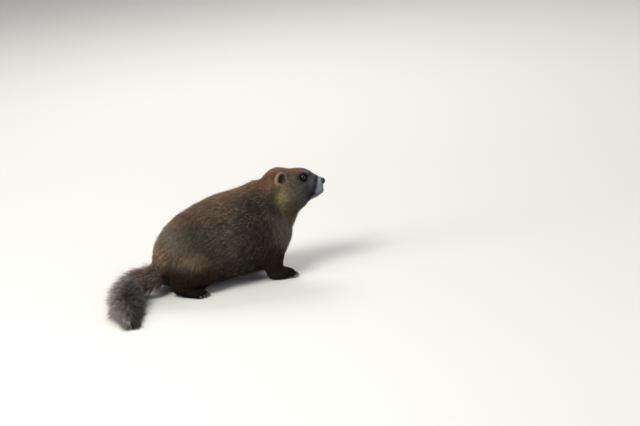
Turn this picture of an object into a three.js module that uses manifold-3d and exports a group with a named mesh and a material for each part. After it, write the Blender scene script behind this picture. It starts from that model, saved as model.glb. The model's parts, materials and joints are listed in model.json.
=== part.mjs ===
// A life-size yellow-bellied marmot, standing low on all fours with its head up and its tail laid on the ground.
// Millimetres, +X towards the head, +Y to the animal's left, +Z up, the ground at z = 0.
//
// The coat's outer surface is one smooth field of blended masses. Each named part is polygonised from that field
// at a cell size of its own, and the parts are divided by thin cuts. Toes, claws, ears, lids, lips and the tail's
// brush are pieces of their own shape, joined or fitted to the parts that they grow from.
import * as THREE from "three";
import { mergeVertices } from "three/addons/utils/BufferGeometryUtils.js";
import Module from "manifold-3d";

const wasm = await Module();
wasm.setup();

// Driving dimensions
const GAP = 0.3; // clearance between neighbouring parts
const BODY_WIDTH = 146; // across the flanks
const CHEST_WIDTH = 128; // across the ribs behind the shoulders
const HEAD_WIDTH = 70; // across the skull at the ears, over the fur
const MUZZLE_X = 70.5; // the whisker pads' middle, ahead of the ears
const NOSE = [84.5, 0, -9.5]; // the nose pad's middle, ahead of the ears and below them
const EYE = [46.5, 18.5, 1.8]; // the left eye's middle, from between the ears
const EYE_RADIUS = 6.6;
const LID = 1.3; // thickness of an eyelid
const EAR = [12, 8, 13.5]; // an ear's half length, half depth and half height
const FORE_X = { right: 150, left: 134 }; // where each forearm stands
const HIND_X = { right: -8, left: -14 }; // where each shank stands
const HEEL_SET = 11; // how far a hind foot's middle stands behind the shank
const FORE_SPREAD = 43; // from the middle plane to each forearm
const HIND_SPREAD = 48; // from the middle plane to each hind foot
const FORE_SPLAY = 0.1; // how far each forepaw turns outwards, in radians
const HIND_SPLAY = 0.75;
const WRIST_Z = 17; // where forearm and forepaw meet
const ANKLE_Z = 18; // where shank and hind foot meet
const ELBOW_Z = 62; // where upper arm and forearm meet
const TOE_RADIUS = 5.2;
const TAIL_HAIR = { root: 38, end: 54 }; // length of the tail's hair near the rump and near its tip
const SPLAY = 0.76; // how far the tail's hair stands off at its root, against how far it goes along the tail

// Cell sizes, which set how fine each part's facets are
const CELL = { torso: [14, 12, 12], neck: [10, 10, 10], head: [4.8, 4.6, 4.4], limb: [12.5, 11, 11], foot: [9.5, 9, 7.5] };

const SIDES = { right: -1, left: 1 };
const UP = new THREE.Vector3(0, 0, 1);
const v3 = (x, y, z) => new THREE.Vector3(x, y, z);
const placed = (at, turn = [0, 0, 0]) =>
  new THREE.Matrix4()
    .makeTranslation(...at)
    .multiply(new THREE.Matrix4().makeRotationFromEuler(new THREE.Euler(...turn, "ZYX")));

// Where the head is carried: between the ears, turned a little to the right, tipped down and cocked to the left
const head = placed([184, -2, 176], [-0.09, 0.07, -0.2]);
const onHead = (x, y, z) => v3(x, y, z).applyMatrix4(head);
const headWay = (x, y, z) => v3(x, y, z).transformDirection(head);

// Where each paw stands on the ground, turned outwards
const paws = Object.fromEntries(
  Object.entries(SIDES).map(([name, side]) => [
    name,
    {
      fore: placed([FORE_X[name], side * FORE_SPREAD, 0], [0, 0, side * FORE_SPLAY]),
      hind: placed([HIND_X[name] - HEEL_SET, side * HIND_SPREAD, 0], [0, 0, side * HIND_SPLAY]),
    },
  ]),
);

// An ellipsoid of flesh and fur, blended into what is there over the distance in blend
function mass(at, size, { turn = [0, 0, 0], blend = 14, carve = false, frame = new THREE.Matrix4() } = {}) {
  const inverse = frame.clone().multiply(placed(at, turn)).invert();
  const [a, b, c] = size;
  const p = v3(0, 0, 0);
  const distance = (q) => {
    p.copy(q).applyMatrix4(inverse);
    const near = Math.hypot(p.x / a, p.y / b, p.z / c);
    const slope = Math.hypot(p.x / (a * a), p.y / (b * b), p.z / (c * c));
    return slope < 1e-9 ? -Math.min(a, b, c) : (near * (near - 1)) / slope;
  };
  return { distance, blend, carve };
}

// A limb or neck: a round cone between two balls
function limb(from, to, { blend = 10, frame = new THREE.Matrix4() } = {}) {
  const start = v3(...from.at).applyMatrix4(frame);
  const along = v3(...to.at).applyMatrix4(frame).sub(start);
  const length2 = along.lengthSq();
  const p = v3(0, 0, 0);
  const distance = (q) => {
    p.copy(q).sub(start);
    const t = THREE.MathUtils.clamp(p.dot(along) / length2, 0, 1);
    return p.addScaledVector(along, -t).length() - THREE.MathUtils.lerp(from.r, to.r, t);
  };
  return { distance, blend, carve: false };
}

// Smooth union and smooth cut of two distances over a width k
function blendIn(d, e, k, carve) {
  const [a, b] = carve ? [-d, e] : [d, e];
  const h = Math.max(k - Math.abs(a - b), 0) / k;
  const joined = Math.min(a, b) - (h * h * k) / 4;
  return carve ? -joined : joined;
}

const trunk = [
  mass([17, 0, 77], [64, 54, 86], { turn: [0, 0.98, 0] }),
  mass([60, 0, 81], [63, BODY_WIDTH / 2, 75], { turn: [0, 0.26, 0], blend: 20 }),
  mass([111, 0, 88], [81, CHEST_WIDTH / 2, 79], { blend: 24 }),
  mass([143.5, 0, 120], [32, 42, 56], { blend: 20 }),
  mass([162, 0, 82], [36.5, 44, 45], { blend: 22 }),
  limb({ at: [-44, 0, 38], r: 17 }, { at: [-92, -2, 31], r: 15 }, { blend: 16 }),
];
const neckMasses = [
  limb({ at: [150, 0, 121], r: 41 }, { at: [189, -2, 144], r: 31 }, { blend: 20 }),
  mass([194.5, -2, 118], [21, 30, 31.5], { blend: 18 }),
];
const pawMasses = Object.entries(SIDES).flatMap(([name, side]) => {
  const [hx, fx] = [HIND_X[name], FORE_X[name]];
  return [
    mass([fx - 6, side * 42, 82], [34, 24, 44], { blend: 16 }),
    limb(
      { at: [fx - 4, side * FORE_SPREAD, 54], r: 25 },
      { at: [fx, side * FORE_SPREAD, 20], r: 15.5 },
      { blend: 14 },
    ),
    mass([11, 0, 9.5], [23, 16.5, 11.5], { frame: paws[name].fore, blend: 8 }),
    mass([hx + 12, side * 44, 52], [42, 26, 38], { blend: 16 }),
    mass([hx + 16, side * 50, 34], [34, 20, 22], { turn: [0, -0.3, 0], blend: 12 }),
    mass([-9, 0, 23], [22.5, 16, 14.5], { frame: paws[name].hind, blend: 10 }),
    mass([1, 0, 9.3], [32.5, 15, 9.5], { turn: [0, 0.16, 0], frame: paws[name].hind, blend: 8 }),
  ];
});
const headMasses = [
  mass([2, 0, -12], [29, HEAD_WIDTH / 2, 30], { frame: head, blend: 14 }),
  mass([36, 0, -7], [35, 26, 23], { frame: head, blend: 12 }),
  limb({ at: [50, 0, -9], r: 17.4 }, { at: [MUZZLE_X + 2.5, 0, -11.5], r: 12.2 }, { frame: head, blend: 10 }),
  ...Object.values(SIDES).map((side) =>
    mass([MUZZLE_X, side * 7.5, -21.5], [14.2, 11, 13], { frame: head, blend: 7 }),
  ),
  mass([61, 0, -28.5], [16.5, 14, 13], { frame: head, blend: 9 }),
  mass([34, 0, -35], [24.5, 24, 25], { frame: head, blend: 12 }),
  ...Object.values(SIDES).flatMap((side) => [
    mass([8, side * 15, -9], [25, 17, 23], { frame: head, blend: 10 }),
    mass([24, side * 20, -22], [27, 18, 23], { frame: head, blend: 12 }),
    mass([57, side * 9, -17], [20, 12.5, 16], { frame: head, blend: 10 }),
    mass([45, side * 15, 7.2], [14, 9, 6], { frame: head, blend: 8 }),
  ]),
];
const masses = [...trunk, ...neckMasses, ...pawMasses, ...headMasses];

// The distance to the coat's surface, less than zero inside
function coat(p) {
  let d = 1e3;
  for (const m of masses) d = blendIn(d, m.distance(p), m.blend, m.carve);
  return d;
}

// The twelve edges of a grid cell as pairs of its corners, and the four corners round each of its six faces
const corners = [0, 1, 2, 3, 4, 5, 6, 7].map((n) => [n & 1, (n >> 1) & 1, (n >> 2) & 1]);
const edges = corners.flatMap((a, m) =>
  corners.flatMap((b, n) => (m < n && a.filter((c, axis) => c !== b[axis]).length === 1 ? [[m, n]] : [])),
);
const edgeOf = (m, n) => edges.findIndex(([a, b]) => (a === m && b === n) || (a === n && b === m));
const cellFaces = [
  [0, 1, 3, 2],
  [4, 5, 7, 6],
  [0, 1, 5, 4],
  [2, 3, 7, 6],
  [0, 2, 6, 4],
  [1, 3, 7, 5],
];

// The crossed edges of a cell in groups, one for each sheet of surface that passes through it
function sheets(inside) {
  const group = edges.map(([m, n], e) => (inside[m] !== inside[n] ? e : -1));
  const join = (e, f) => {
    const [from, to] = [group[e], group[f]];
    group.forEach((g, n) => (group[n] = g === from ? to : g));
  };
  for (const face of cellFaces) {
    const round = face.map((corner, n) => edgeOf(corner, face[(n + 1) % 4]));
    const crossed = round.filter((e) => group[e] >= 0);
    if (crossed.length === 2) join(...crossed);
    if (crossed.length === 4)
      face.forEach((corner, n) => {
        if (inside[corner]) join(round[(n + 3) % 4], round[n]);
      });
  }
  return group;
}

// The closed surface where the field is zero, inside a box, as dual cells moved onto the true surface
function polygonise(field, lo, hi, cell) {
  const count = lo.map((low, axis) => Math.ceil((hi[axis] - low) / cell[axis]) + 1);
  const [nx, ny, nz] = count;
  const at = (i, j, k) => (k * ny + j) * nx + i;
  const point = (i, j, k) => v3(lo[0] + i * cell[0], lo[1] + j * cell[1], lo[2] + k * cell[2]);
  const size = v3(...cell);
  const small = Math.min(...cell);
  const value = new Float64Array(nx * ny * nz);
  for (let k = 0; k < nz; k++)
    for (let j = 0; j < ny; j++)
      for (let i = 0; i < nx; i++) {
        const rim = i === 0 || j === 0 || k === 0 || i === nx - 1 || j === ny - 1 || k === nz - 1;
        const d = field(point(i, j, k));
        value[at(i, j, k)] = rim ? Math.max(d, small / 4) : d;
      }
  const vertex = new Int32Array(value.length * edges.length).fill(-1);
  const positions = [];
  for (let k = 0; k < nz - 1; k++)
    for (let j = 0; j < ny - 1; j++)
      for (let i = 0; i < nx - 1; i++) {
        const here = corners.map(([a, b, c]) => value[at(i + a, j + b, k + c)]);
        const below = here.filter((d) => d < 0).length;
        if (below === 0 || below === corners.length) continue;
        const group = sheets(here.map((d) => d < 0));
        const inner = [i, j, k].every((n, axis) => n > 0 && n < count[axis] - 2);
        for (const sheet of new Set(group.filter((g) => g >= 0))) {
          const sum = v3(0, 0, 0);
          let crossings = 0;
          edges.forEach(([m, n], e) => {
            if (group[e] !== sheet) return;
            sum.add(v3(...corners[m]).lerp(v3(...corners[n]), here[m] / (here[m] - here[n])));
            vertex[at(i, j, k) * edges.length + e] = positions.length / 3;
            crossings++;
          });
          const p = point(i, j, k).add(sum.divideScalar(crossings).multiply(size));
          positions.push(...(inner ? ontoSurface(field, p, small) : p).toArray());
        }
      }
  const faces = [];
  const axes = [
    [1, 0, 0],
    [0, 1, 0],
    [0, 0, 1],
  ];
  const round = [
    [1, 1],
    [0, 1],
    [0, 0],
    [1, 0],
  ];
  for (let k = 0; k < nz - 1; k++)
    for (let j = 0; j < ny - 1; j++)
      for (let i = 0; i < nx - 1; i++)
        axes.forEach((step, axis) => {
          if ([i, j, k].some((n, other) => other !== axis && n === 0)) return;
          const inside = value[at(i, j, k)] < 0;
          if (inside === value[at(i + step[0], j + step[1], k + step[2])] < 0) return;
          const quad = round.map(([a, b]) => {
            const back = [0, 0, 0];
            back[(axis + 1) % 3] = a;
            back[(axis + 2) % 3] = b;
            const low = back[0] + 2 * back[1] + 4 * back[2];
            const e = edgeOf(low, low + (1 << axis));
            return vertex[at(i - back[0], j - back[1], k - back[2]) * edges.length + e];
          });
          const [a, b, c, d] = inside ? quad : quad.reverse();
          faces.push(a, b, c, a, c, d);
        });
  return new THREE.BufferGeometry()
    .setAttribute("position", new THREE.Float32BufferAttribute(positions, 3))
    .setIndex(faces);
}

// Moves a point along the field's slope until it lies on the surface, by no more than half a cell
function ontoSurface(field, start, cell) {
  const p = start.clone();
  const step = cell / 20;
  for (let pass = 0; pass < 3; pass++) {
    const d = field(p);
    const slope = v3(
      field(p.clone().setX(p.x + step)) - d,
      field(p.clone().setY(p.y + step)) - d,
      field(p.clone().setZ(p.z + step)) - d,
    ).divideScalar(step);
    p.addScaledVector(slope, -d / Math.max(slope.lengthSq(), 0.3));
  }
  return p.sub(start).clampLength(0, cell / 2).add(start);
}

// Where the coat's surface lies, going out from a point inside
function castOut(from, way) {
  const reach = 60;
  let [near, far] = [0, reach];
  for (let pass = 0; pass < 24; pass++) {
    const middle = (near + far) / 2;
    if (coat(from.clone().addScaledVector(way, middle)) < 0) near = middle;
    else far = middle;
  }
  return from.clone().addScaledVector(way, near);
}

// A closed tapering sweep along points, oval in section, with its flat side facing the way that face says
function sweep(points, halfWidths, halfThicks, face, sides = 6) {
  const positions = [];
  const faces = [];
  points.forEach((p, i) => {
    const ahead = points[Math.min(i + 1, points.length - 1)].clone().sub(points[Math.max(i - 1, 0)]).normalize();
    const across = new THREE.Vector3().crossVectors(face, ahead).normalize();
    const out = new THREE.Vector3().crossVectors(ahead, across);
    for (let s = 0; s < sides; s++) {
      const angle = (s / sides) * 2 * Math.PI;
      const q = p
        .clone()
        .addScaledVector(across, halfWidths[i] * Math.cos(angle))
        .addScaledVector(out, halfThicks[i] * Math.sin(angle));
      positions.push(...q.toArray());
    }
  });
  const ring = (i, s) => i * sides + (s % sides);
  for (let i = 0; i < points.length - 1; i++)
    for (let s = 0; s < sides; s++)
      faces.push(ring(i, s), ring(i, s + 1), ring(i + 1, s + 1), ring(i, s), ring(i + 1, s + 1), ring(i + 1, s));
  for (let s = 1; s < sides - 1; s++) {
    faces.push(ring(0, 0), ring(0, s + 1), ring(0, s));
    faces.push(ring(points.length - 1, 0), ring(points.length - 1, s), ring(points.length - 1, s + 1));
  }
  return new THREE.BufferGeometry()
    .setAttribute("position", new THREE.Float32BufferAttribute(positions, 3))
    .setIndex(faces);
}

// A three.js geometry as a solid
function solid(geometry) {
  const bare = geometry.clone();
  for (const name of Object.keys(bare.attributes)) if (name !== "position") bare.deleteAttribute(name);
  const merged = mergeVertices(bare, 1e-4);
  return new wasm.Manifold(
    new wasm.Mesh({
      numProp: 3,
      vertProperties: new Float32Array(merged.attributes.position.array),
      triVerts: new Uint32Array(merged.index.array),
    }),
  );
}

// The largest closed body of a solid, which drops loose scraps
const largest = (made) => made.decompose().reduce((a, b) => (a.volume() > b.volume() ? a : b));

const boxSolid = (lo, hi) =>
  solid(
    new THREE.BoxGeometry(...hi.map((h, axis) => h - lo[axis])).translate(...hi.map((h, axis) => (h + lo[axis]) / 2)),
  );
const ball = (place, size, [across, down] = [16, 10]) =>
  solid(
    new THREE.SphereGeometry(1, across, down)
      .rotateX(Math.PI / 2)
      .scale(...size)
      .applyMatrix4(place),
  );
const grown = (size, by) => size.map((s) => s + by);
const ground = boxSolid([-400, -300, -100], [400, 300, 0]);

// A half space, as a large box whose near face passes a little past at, on the side that normal points to
function halfSpace(at, normal, offset = 0) {
  const reach = 400;
  const geometry = new THREE.BoxGeometry(2 * reach, 2 * reach, 2 * reach).translate(0, 0, reach + offset);
  geometry.applyQuaternion(new THREE.Quaternion().setFromUnitVectors(UP, v3(...normal).normalize()));
  return solid(geometry.translate(...at));
}

// The cuts that divide the body
const collar = { at: [166, 0, 118], normal: [0.78, 0, 0.62] }; // torso and neck
const nape = { at: [190, -2, 150], normal: [0.84, -0.12, 0.52] }; // neck and head
const dock = { at: [-64, 0, 40], normal: [-1, 0, -0.15] }; // torso and tail
const shankSlope = (name) => ({ at: [HIND_X[name], 0, 46], normal: [-0.3, 0, 1] }); // thigh and shank
const ahead = (cut) => halfSpace(cut.at, cut.normal, GAP / 2);
const behind = (cut) => halfSpace(cut.at, cut.normal.map((n) => -n), GAP / 2);
const above = (z) => halfSpace([0, 0, z], [0, 0, 1], GAP / 2);
const below = (z) => halfSpace([0, 0, z], [0, 0, -1], GAP / 2);

const shoulderCut = (name, by) =>
  ball(placed([FORE_X[name] - 8, SIDES[name] * 56, 84]), grown([44, 34, 48], by), [14, 10]);
// An upright oval column from under the ground, round a forearm or a hind foot
function column(place, [length, width], top, by) {
  const foot = 10;
  return solid(
    new THREE.CylinderGeometry(1, 1, top + foot + by, 14)
      .rotateX(Math.PI / 2)
      .scale(length + by, width + by, 1)
      .translate(0, 0, (top - foot + by) / 2)
      .applyMatrix4(place),
  );
}
const foreCut = (name, by) => column(paws[name].fore, [34, 27], ELBOW_Z, by);
const footCut = (name, by) => column(paws[name].hind, [50, 24], ANKLE_Z, by);
const hindCut = (name, by) =>
  ball(placed([HIND_X[name] + 2, SIDES[name] * 60, 50]), grown([60, 38, 50], by), [14, 10]).add(
    column(paws[name].hind, [50, 27], 30, by),
  );

// The polygonised coat inside a box
const coatIn = (lo, hi, cell) => solid(polygonise(coat, lo, hi, cell));

// The torso, with its legs, neck and tail cut away
function makeTorso() {
  let made = coatIn([-105, -105, -20], [235, 105, 205], CELL.torso).intersect(behind(collar)).intersect(behind(dock));
  for (const name of Object.keys(SIDES))
    for (const cut of [shoulderCut, foreCut, hindCut]) made = made.subtract(cut(name, GAP));
  return made.subtract(ground);
}

function makeNeck() {
  let made = coatIn([120, -75, 60], [250, 75, 215], CELL.neck).intersect(ahead(collar)).intersect(behind(nape));
  for (const name of Object.keys(SIDES)) made = made.subtract(shoulderCut(name, GAP)).subtract(foreCut(name, GAP));
  return made;
}

// An eye looks out to its side, a little forward and up
const eyeWay = (side) => headWay(0.3, side, 0.12);
const eyeAt = (side) => onHead(EYE[0], side * EYE[1], EYE[2]);
const eyeFrame = (side) => {
  const turn = new THREE.Quaternion().setFromUnitVectors(UP, eyeWay(side));
  return new THREE.Matrix4().compose(eyeAt(side), turn, v3(1, 1, 1));
};
const eyeBall = (side, by) => ball(eyeFrame(side), grown([EYE_RADIUS, EYE_RADIUS, EYE_RADIUS], by), [12, 7]);

const EAR_FACETS = [12, 8];
const earFrame = (side) => head.clone().multiply(placed([4, side * 30, 2], [side * -0.12, 0, side * -0.4]));

// The gap between the lids: an oval bore along the eye's own direction, longest from corner to corner
function lidGap(side) {
  const [halfLength, halfHeight, reach] = [5.9, 4.7, 14];
  const corner = headWay(1, -0.3 * side, 0);
  const top = eyeWay(side).cross(corner).normalize();
  const frame = new THREE.Matrix4().makeBasis(corner, top, eyeWay(side)).setPosition(eyeAt(side));
  if (frame.determinant() < 0) frame.makeBasis(corner, top.negate(), eyeWay(side)).setPosition(eyeAt(side));
  return solid(
    new THREE.CylinderGeometry(1, 1, reach, 12)
      .rotateX(Math.PI / 2)
      .scale(halfLength, halfHeight, 1)
      .translate(0, 0, reach / 2)
      .applyMatrix4(frame),
  );
}

// The line of the mouth round the muzzle, from corner to corner, highest under the nose
const mouthLine = Array.from({ length: 13 }, (_, n) => {
  const opening = 1.5;
  const angle = (n / 12 - 0.5) * 2 * opening;
  const lift = 6 * Math.exp(-((angle / 0.5) ** 2));
  return castOut(onHead(61, 0, -30 + lift), headWay(Math.cos(angle), Math.sin(angle), 0));
});
const tapered = (count, middle, end) =>
  Array.from({ length: count }, (_, n) => (n === 0 || n === count - 1 ? end : middle));

const nosePad = (by) => ball(head.clone().multiply(placed(NOSE)), grown([5, 6.8, 6], by), [10, 7]);

function makeHead() {
  let made = coatIn([150, -70, 95], [290, 65, 215], CELL.head).intersect(ahead(nape));
  for (const side of Object.values(SIDES)) {
    made = made.add(eyeBall(side, LID)).subtract(eyeBall(side, GAP)).subtract(lidGap(side));
  }
  const headUp = headWay(0, 0, 1);
  const count = mouthLine.length;
  const lips = solid(sweep(mouthLine, tapered(count, 1.2, 0.3), tapered(count, 2.6, 0.4), headUp, 6));
  const line = solid(sweep(mouthLine, tapered(count, 2.8, 1), tapered(count, 0.6, 0.3), headUp, 4));
  made = made.add(lips).subtract(line);
  for (const side of Object.values(SIDES)) made = made.subtract(ball(earFrame(side), grown(EAR, GAP), EAR_FACETS));
  return made.subtract(nosePad(GAP));
}

// The nose pad, with two nostrils that open forwards and outwards
function makeNose() {
  let made = nosePad(0);
  for (const side of Object.values(SIDES)) {
    const nostril = placed([NOSE[0] + 4.4, side * 3.2, NOSE[2] - 0.6], [side * 0.5, 0, side * 0.5]);
    made = made.subtract(ball(head.clone().multiply(nostril), [3, 1.3, 2], [6, 5]));
  }
  return made;
}

// A short round ear: a cup sunk into the side of the head, which opens outwards and a little forwards
function makeEar(side) {
  const frame = earFrame(side);
  const cup = frame.clone().multiply(placed([0.6, side * 5.4, 0.4]));
  const notch = frame.clone().multiply(placed([EAR[0] - 1, side * 7, -EAR[2] * 0.45]));
  return ball(frame, EAR, EAR_FACETS)
    .subtract(ball(cup, [EAR[0] - 2.4, EAR[1] + 1, EAR[2] - 2.6], [10, 7]))
    .subtract(ball(notch, [4, 6, 4.5], [6, 5]));
}

// Toes and their claws, fanned across a paw's front in the paw's own frame
const DIGITS = {
  fore: [
    [-12, 0],
    [-4.2, 4],
    [4.2, 4.5],
    [12, 1],
  ],
  hind: [
    [-12.5, -3],
    [-6.4, 1.5],
    [0, 3.5],
    [6.4, 2],
    [12, -3.5],
  ],
};
const PAW_FRONT = { fore: 30, hind: 31 }; // where a toe of no extra length ends, ahead of the paw's middle
const KNUCKLE_Z = { fore: 12.5, hind: 9 }; // how high the middle of each knuckle stands
const TIP_Z = { fore: 7, hind: 5.6 }; // how high the middle of each toe's tip stands

function digit(place, kind, [across, extra]) {
  const front = PAW_FRONT[kind] + extra;
  const at = (x, y, z) => v3(x, y, z).applyMatrix4(place);
  const knuckle = front - 10;
  const arch = KNUCKLE_Z[kind];
  const toe = [
    at(front - 22, across * 0.8, arch - 1),
    at(knuckle, across, arch),
    at(front - 2, across * 1.05, TIP_Z[kind] + 2.4),
    at(front + 2.5, across * 1.08, TIP_Z[kind]),
  ];
  const claw = [
    at(front + 2.5 + GAP, across * 1.08, TIP_Z[kind] - 0.2),
    at(front + 7, across * 1.12, TIP_Z[kind] - 1.9),
    at(front + 11, across * 1.15, 1.4),
  ];
  return { toe, claw };
}
const toeSolid = ({ toe }) => solid(sweep(toe, [4.8, TOE_RADIUS, 4.7, 2.8], [4.6, TOE_RADIUS, 4.8, 3.1], UP, 6));
const clawSolid = ({ claw }) => solid(sweep(claw, [1.6, 1.3, 0.35], [1.9, 1.5, 0.35], UP, 5));

// The legs of one side, from the shoulder and the hip down to the ground
function makeLegs(name) {
  const side = SIDES[name];
  const [hx, fx] = [HIND_X[name], FORE_X[name]];
  const flank = (x0, x1, z0, z1, cell) =>
    coatIn([x0, side < 0 ? -105 : 0, z0], [x1, side < 0 ? 0 : 105, z1], cell);
  const shoulder = flank(fx - 70, fx + 60, 20, 150, CELL.limb).intersect(shoulderCut(name, 0));
  const arm = flank(fx - 50, fx + 50, -20, 90, CELL.limb).intersect(foreCut(name, 0));
  const leg = flank(hx - 80, hx + 80, -20, 120, CELL.limb).intersect(hindCut(name, 0)).subtract(foreCut(name, GAP));
  const slope = shankSlope(name);
  const made = {
    ["upper_arm_" + name]: shoulder.subtract(foreCut(name, GAP)),
    ["forearm_" + name]: arm.intersect(above(WRIST_Z)),
    ["thigh_" + name]: leg.intersect(ahead(slope)),
    ["shank_" + name]: leg.intersect(behind(slope)).subtract(footCut(name, GAP)).subtract(ground),
  };
  const soles = {
    fore: flank(fx - 50, fx + 60, -20, 40, CELL.foot).intersect(foreCut(name, 0)).intersect(below(WRIST_Z)),
    hind: flank(hx - 80, hx + 60, -20, 40, CELL.foot).intersect(footCut(name, 0)),
  };
  for (const [kind, sole] of Object.entries(soles)) {
    const digits = DIGITS[kind].map((spot) => digit(paws[name][kind], kind, spot));
    let paw = largest(sole);
    for (const d of digits) paw = paw.add(toeSolid(d));
    made[(kind === "fore" ? "forepaw_" : "hind_foot_") + name] = paw.subtract(ground);
    digits.forEach((d, n) => {
      made[`claw_${kind}_${name}_${n + 1}`] = clawSolid(d);
    });
  }
  return made;
}

// The tail lies on the ground and bends round to the animal's right
const tailPath = new THREE.CatmullRomCurve3(
  [
    [-66, 0, 35],
    [-92, -3, 30],
    [-111, -16, 26],
    [-125, -38, 22],
    [-136, -66, 19],
    [-145, -96, 15],
    [-151, -124, 12],
    [-154, -144, 10],
  ].map((p) => v3(...p)),
);
const tailLength = tailPath.getLength();
const CORE_END = 0.95; // how far along the tail its core reaches
const coreRadius = (t) => (t < CORE_END ? THREE.MathUtils.lerp(15, 9, t) : 4);

let seed = 11;
// The next of a repeatable row of draws between two limits
function draw(low, high) {
  seed = (seed * 16807) % 2147483647;
  return low + ((high - low) * seed) / 2147483647;
}

// A flat tapered lock of hair that leaves the tail's core at t, at an angle round it, and fans out straight
function lock(t, around, length, width) {
  const flatness = 0.55; // height of the brush over its width
  const steps = [0, 0.35, 0.72, 1];
  const [halfWidths, halfThicks] = [[0.36, 0.5, 0.29, 0.03].map((w) => w * width), [2.4, 2.2, 1.6, 0.4]];
  const droop = draw(1, 6);
  const tangent = tailPath.getTangentAt(t);
  const side = new THREE.Vector3().crossVectors(UP, tangent).normalize();
  const out = side.multiplyScalar(Math.cos(around)).add(v3(0, 0, flatness * Math.sin(around)));
  const splay = SPLAY * (1 - 0.7 * THREE.MathUtils.smoothstep(t, 0.5, 1)) * draw(0.85, 1.1);
  const way = tangent.addScaledVector(out, splay).normalize();
  const root = tailPath.getPointAt(t).addScaledVector(out, coreRadius(t) * 0.4);
  const points = steps.map((f) => {
    const p = root.clone().addScaledVector(way, length * f);
    p.z = Math.max(p.z - droop * f * f, 2.6 - 2 * f);
    return p;
  });
  return solid(sweep(points, halfWidths, halfThicks, out.clone().add(v3(0, 0, 0.45)), 4));
}

function makeTail() {
  const core = [0, 0.2, 0.45, 0.7, CORE_END];
  const radii = core.map(coreRadius);
  const corePoints = core.map((t) => tailPath.getPointAt(t));
  let made = coatIn([-125, -45, 0], [-40, 45, 75], CELL.limb);
  made = made.add(solid(sweep(corePoints, radii, radii.map((radius) => 0.8 * radius), UP, 7)));
  const [rows, first, last] = [7, 0.05, 0.9];
  for (let row = 0; row < rows; row++) {
    const count = row % 2 ? 5 : 4;
    for (let n = 0; n < count; n++) {
      const t = first + ((last - first) * (row + draw(-0.25, 0.25))) / (rows - 1);
      const around = -0.3 + ((Math.PI + 0.6) * (n + draw(-0.12, 0.12))) / (count - 1);
      const length = THREE.MathUtils.lerp(TAIL_HAIR.root, TAIL_HAIR.end, Math.min(1, 1.6 * t)) * draw(0.9, 1.08);
      made = made.add(lock(t, around, length, draw(22, 27)));
    }
  }
  return made.intersect(ahead(dock)).subtract(ground);
}

const COLOURS = {
  back: 0x5b4433,
  flank: 0x4c4238,
  thigh: 0x6b5138,
  dark: 0x2a211c,
  face: 0x4a4039,
  tail: 0x43362d,
  ear: 0x6e5a44,
  naked: 0x17151a,
};
const FINISHES = [
  { nodes: /^(torso|neck|upper_arm)/, color: COLOURS.flank, roughness: 0.95 },
  { nodes: /^(thigh|shank)/, color: COLOURS.thigh, roughness: 0.95 },
  { nodes: /^forearm/, color: COLOURS.back, roughness: 0.95 },
  { nodes: /^(forepaw|hind_foot)/, color: COLOURS.dark, roughness: 0.9 },
  { nodes: /^head/, color: COLOURS.face, roughness: 0.95 },
  { nodes: /^ear/, color: COLOURS.ear, roughness: 0.95 },
  { nodes: /^tail/, color: COLOURS.tail, roughness: 0.95 },
  { nodes: /^nose/, color: COLOURS.naked, roughness: 0.5 },
  { nodes: /^claw/, color: COLOURS.naked, roughness: 0.4 },
  { nodes: /^eye/, color: COLOURS.naked, roughness: 0.08 },
];

const parts = { torso: makeTorso(), neck: makeNeck(), head: makeHead(), nose: makeNose(), tail: makeTail() };
for (const [name, side] of Object.entries(SIDES)) {
  parts["eye_" + name] = eyeBall(side, 0);
  parts["ear_" + name] = makeEar(side);
  Object.assign(parts, makeLegs(name));
}

const marmot = new THREE.Group();
for (const [name, made] of Object.entries(parts)) {
  const kept = largest(made).getMesh();
  const geometry = new THREE.BufferGeometry()
    .setAttribute("position", new THREE.BufferAttribute(kept.vertProperties, 3))
    .setIndex(new THREE.BufferAttribute(kept.triVerts, 1));
  const { color, roughness } = FINISHES.find((finish) => finish.nodes.test(name));
  const mesh = new THREE.Mesh(geometry, new THREE.MeshStandardMaterial({ color, roughness, metalness: 0 }));
  mesh.name = name;
  marmot.add(mesh);
}

// The origin lies on the ground, at the middle of the whole animal seen from above
const box = new THREE.Box3().setFromObject(marmot);
const middle = box.getCenter(new THREE.Vector3());
marmot.position.set(-middle.x, -middle.y, -box.min.z);

export default marmot;
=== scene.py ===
"""A life-size yellow-bellied marmot with its hide, coat, eyes, nose, claws and whiskers.

The hide is one skin polygonised from blended masses, each shrunk by the depth of the coat that lies on
it. Tufts of hair are rooted on it, laid along the body and brought up to the coat's own depth. Lengths are
millimetres in the animal's frame, with +X towards the head, +Y to its left and the ground at zero, and they
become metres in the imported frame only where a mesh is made.
"""

import json
import logging
import math
from dataclasses import dataclass, field, replace
from enum import Enum
from typing import Any

import bpy
import numpy as np
from mathutils import Euler, Matrix, Vector
from mathutils.kdtree import KDTree

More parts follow.
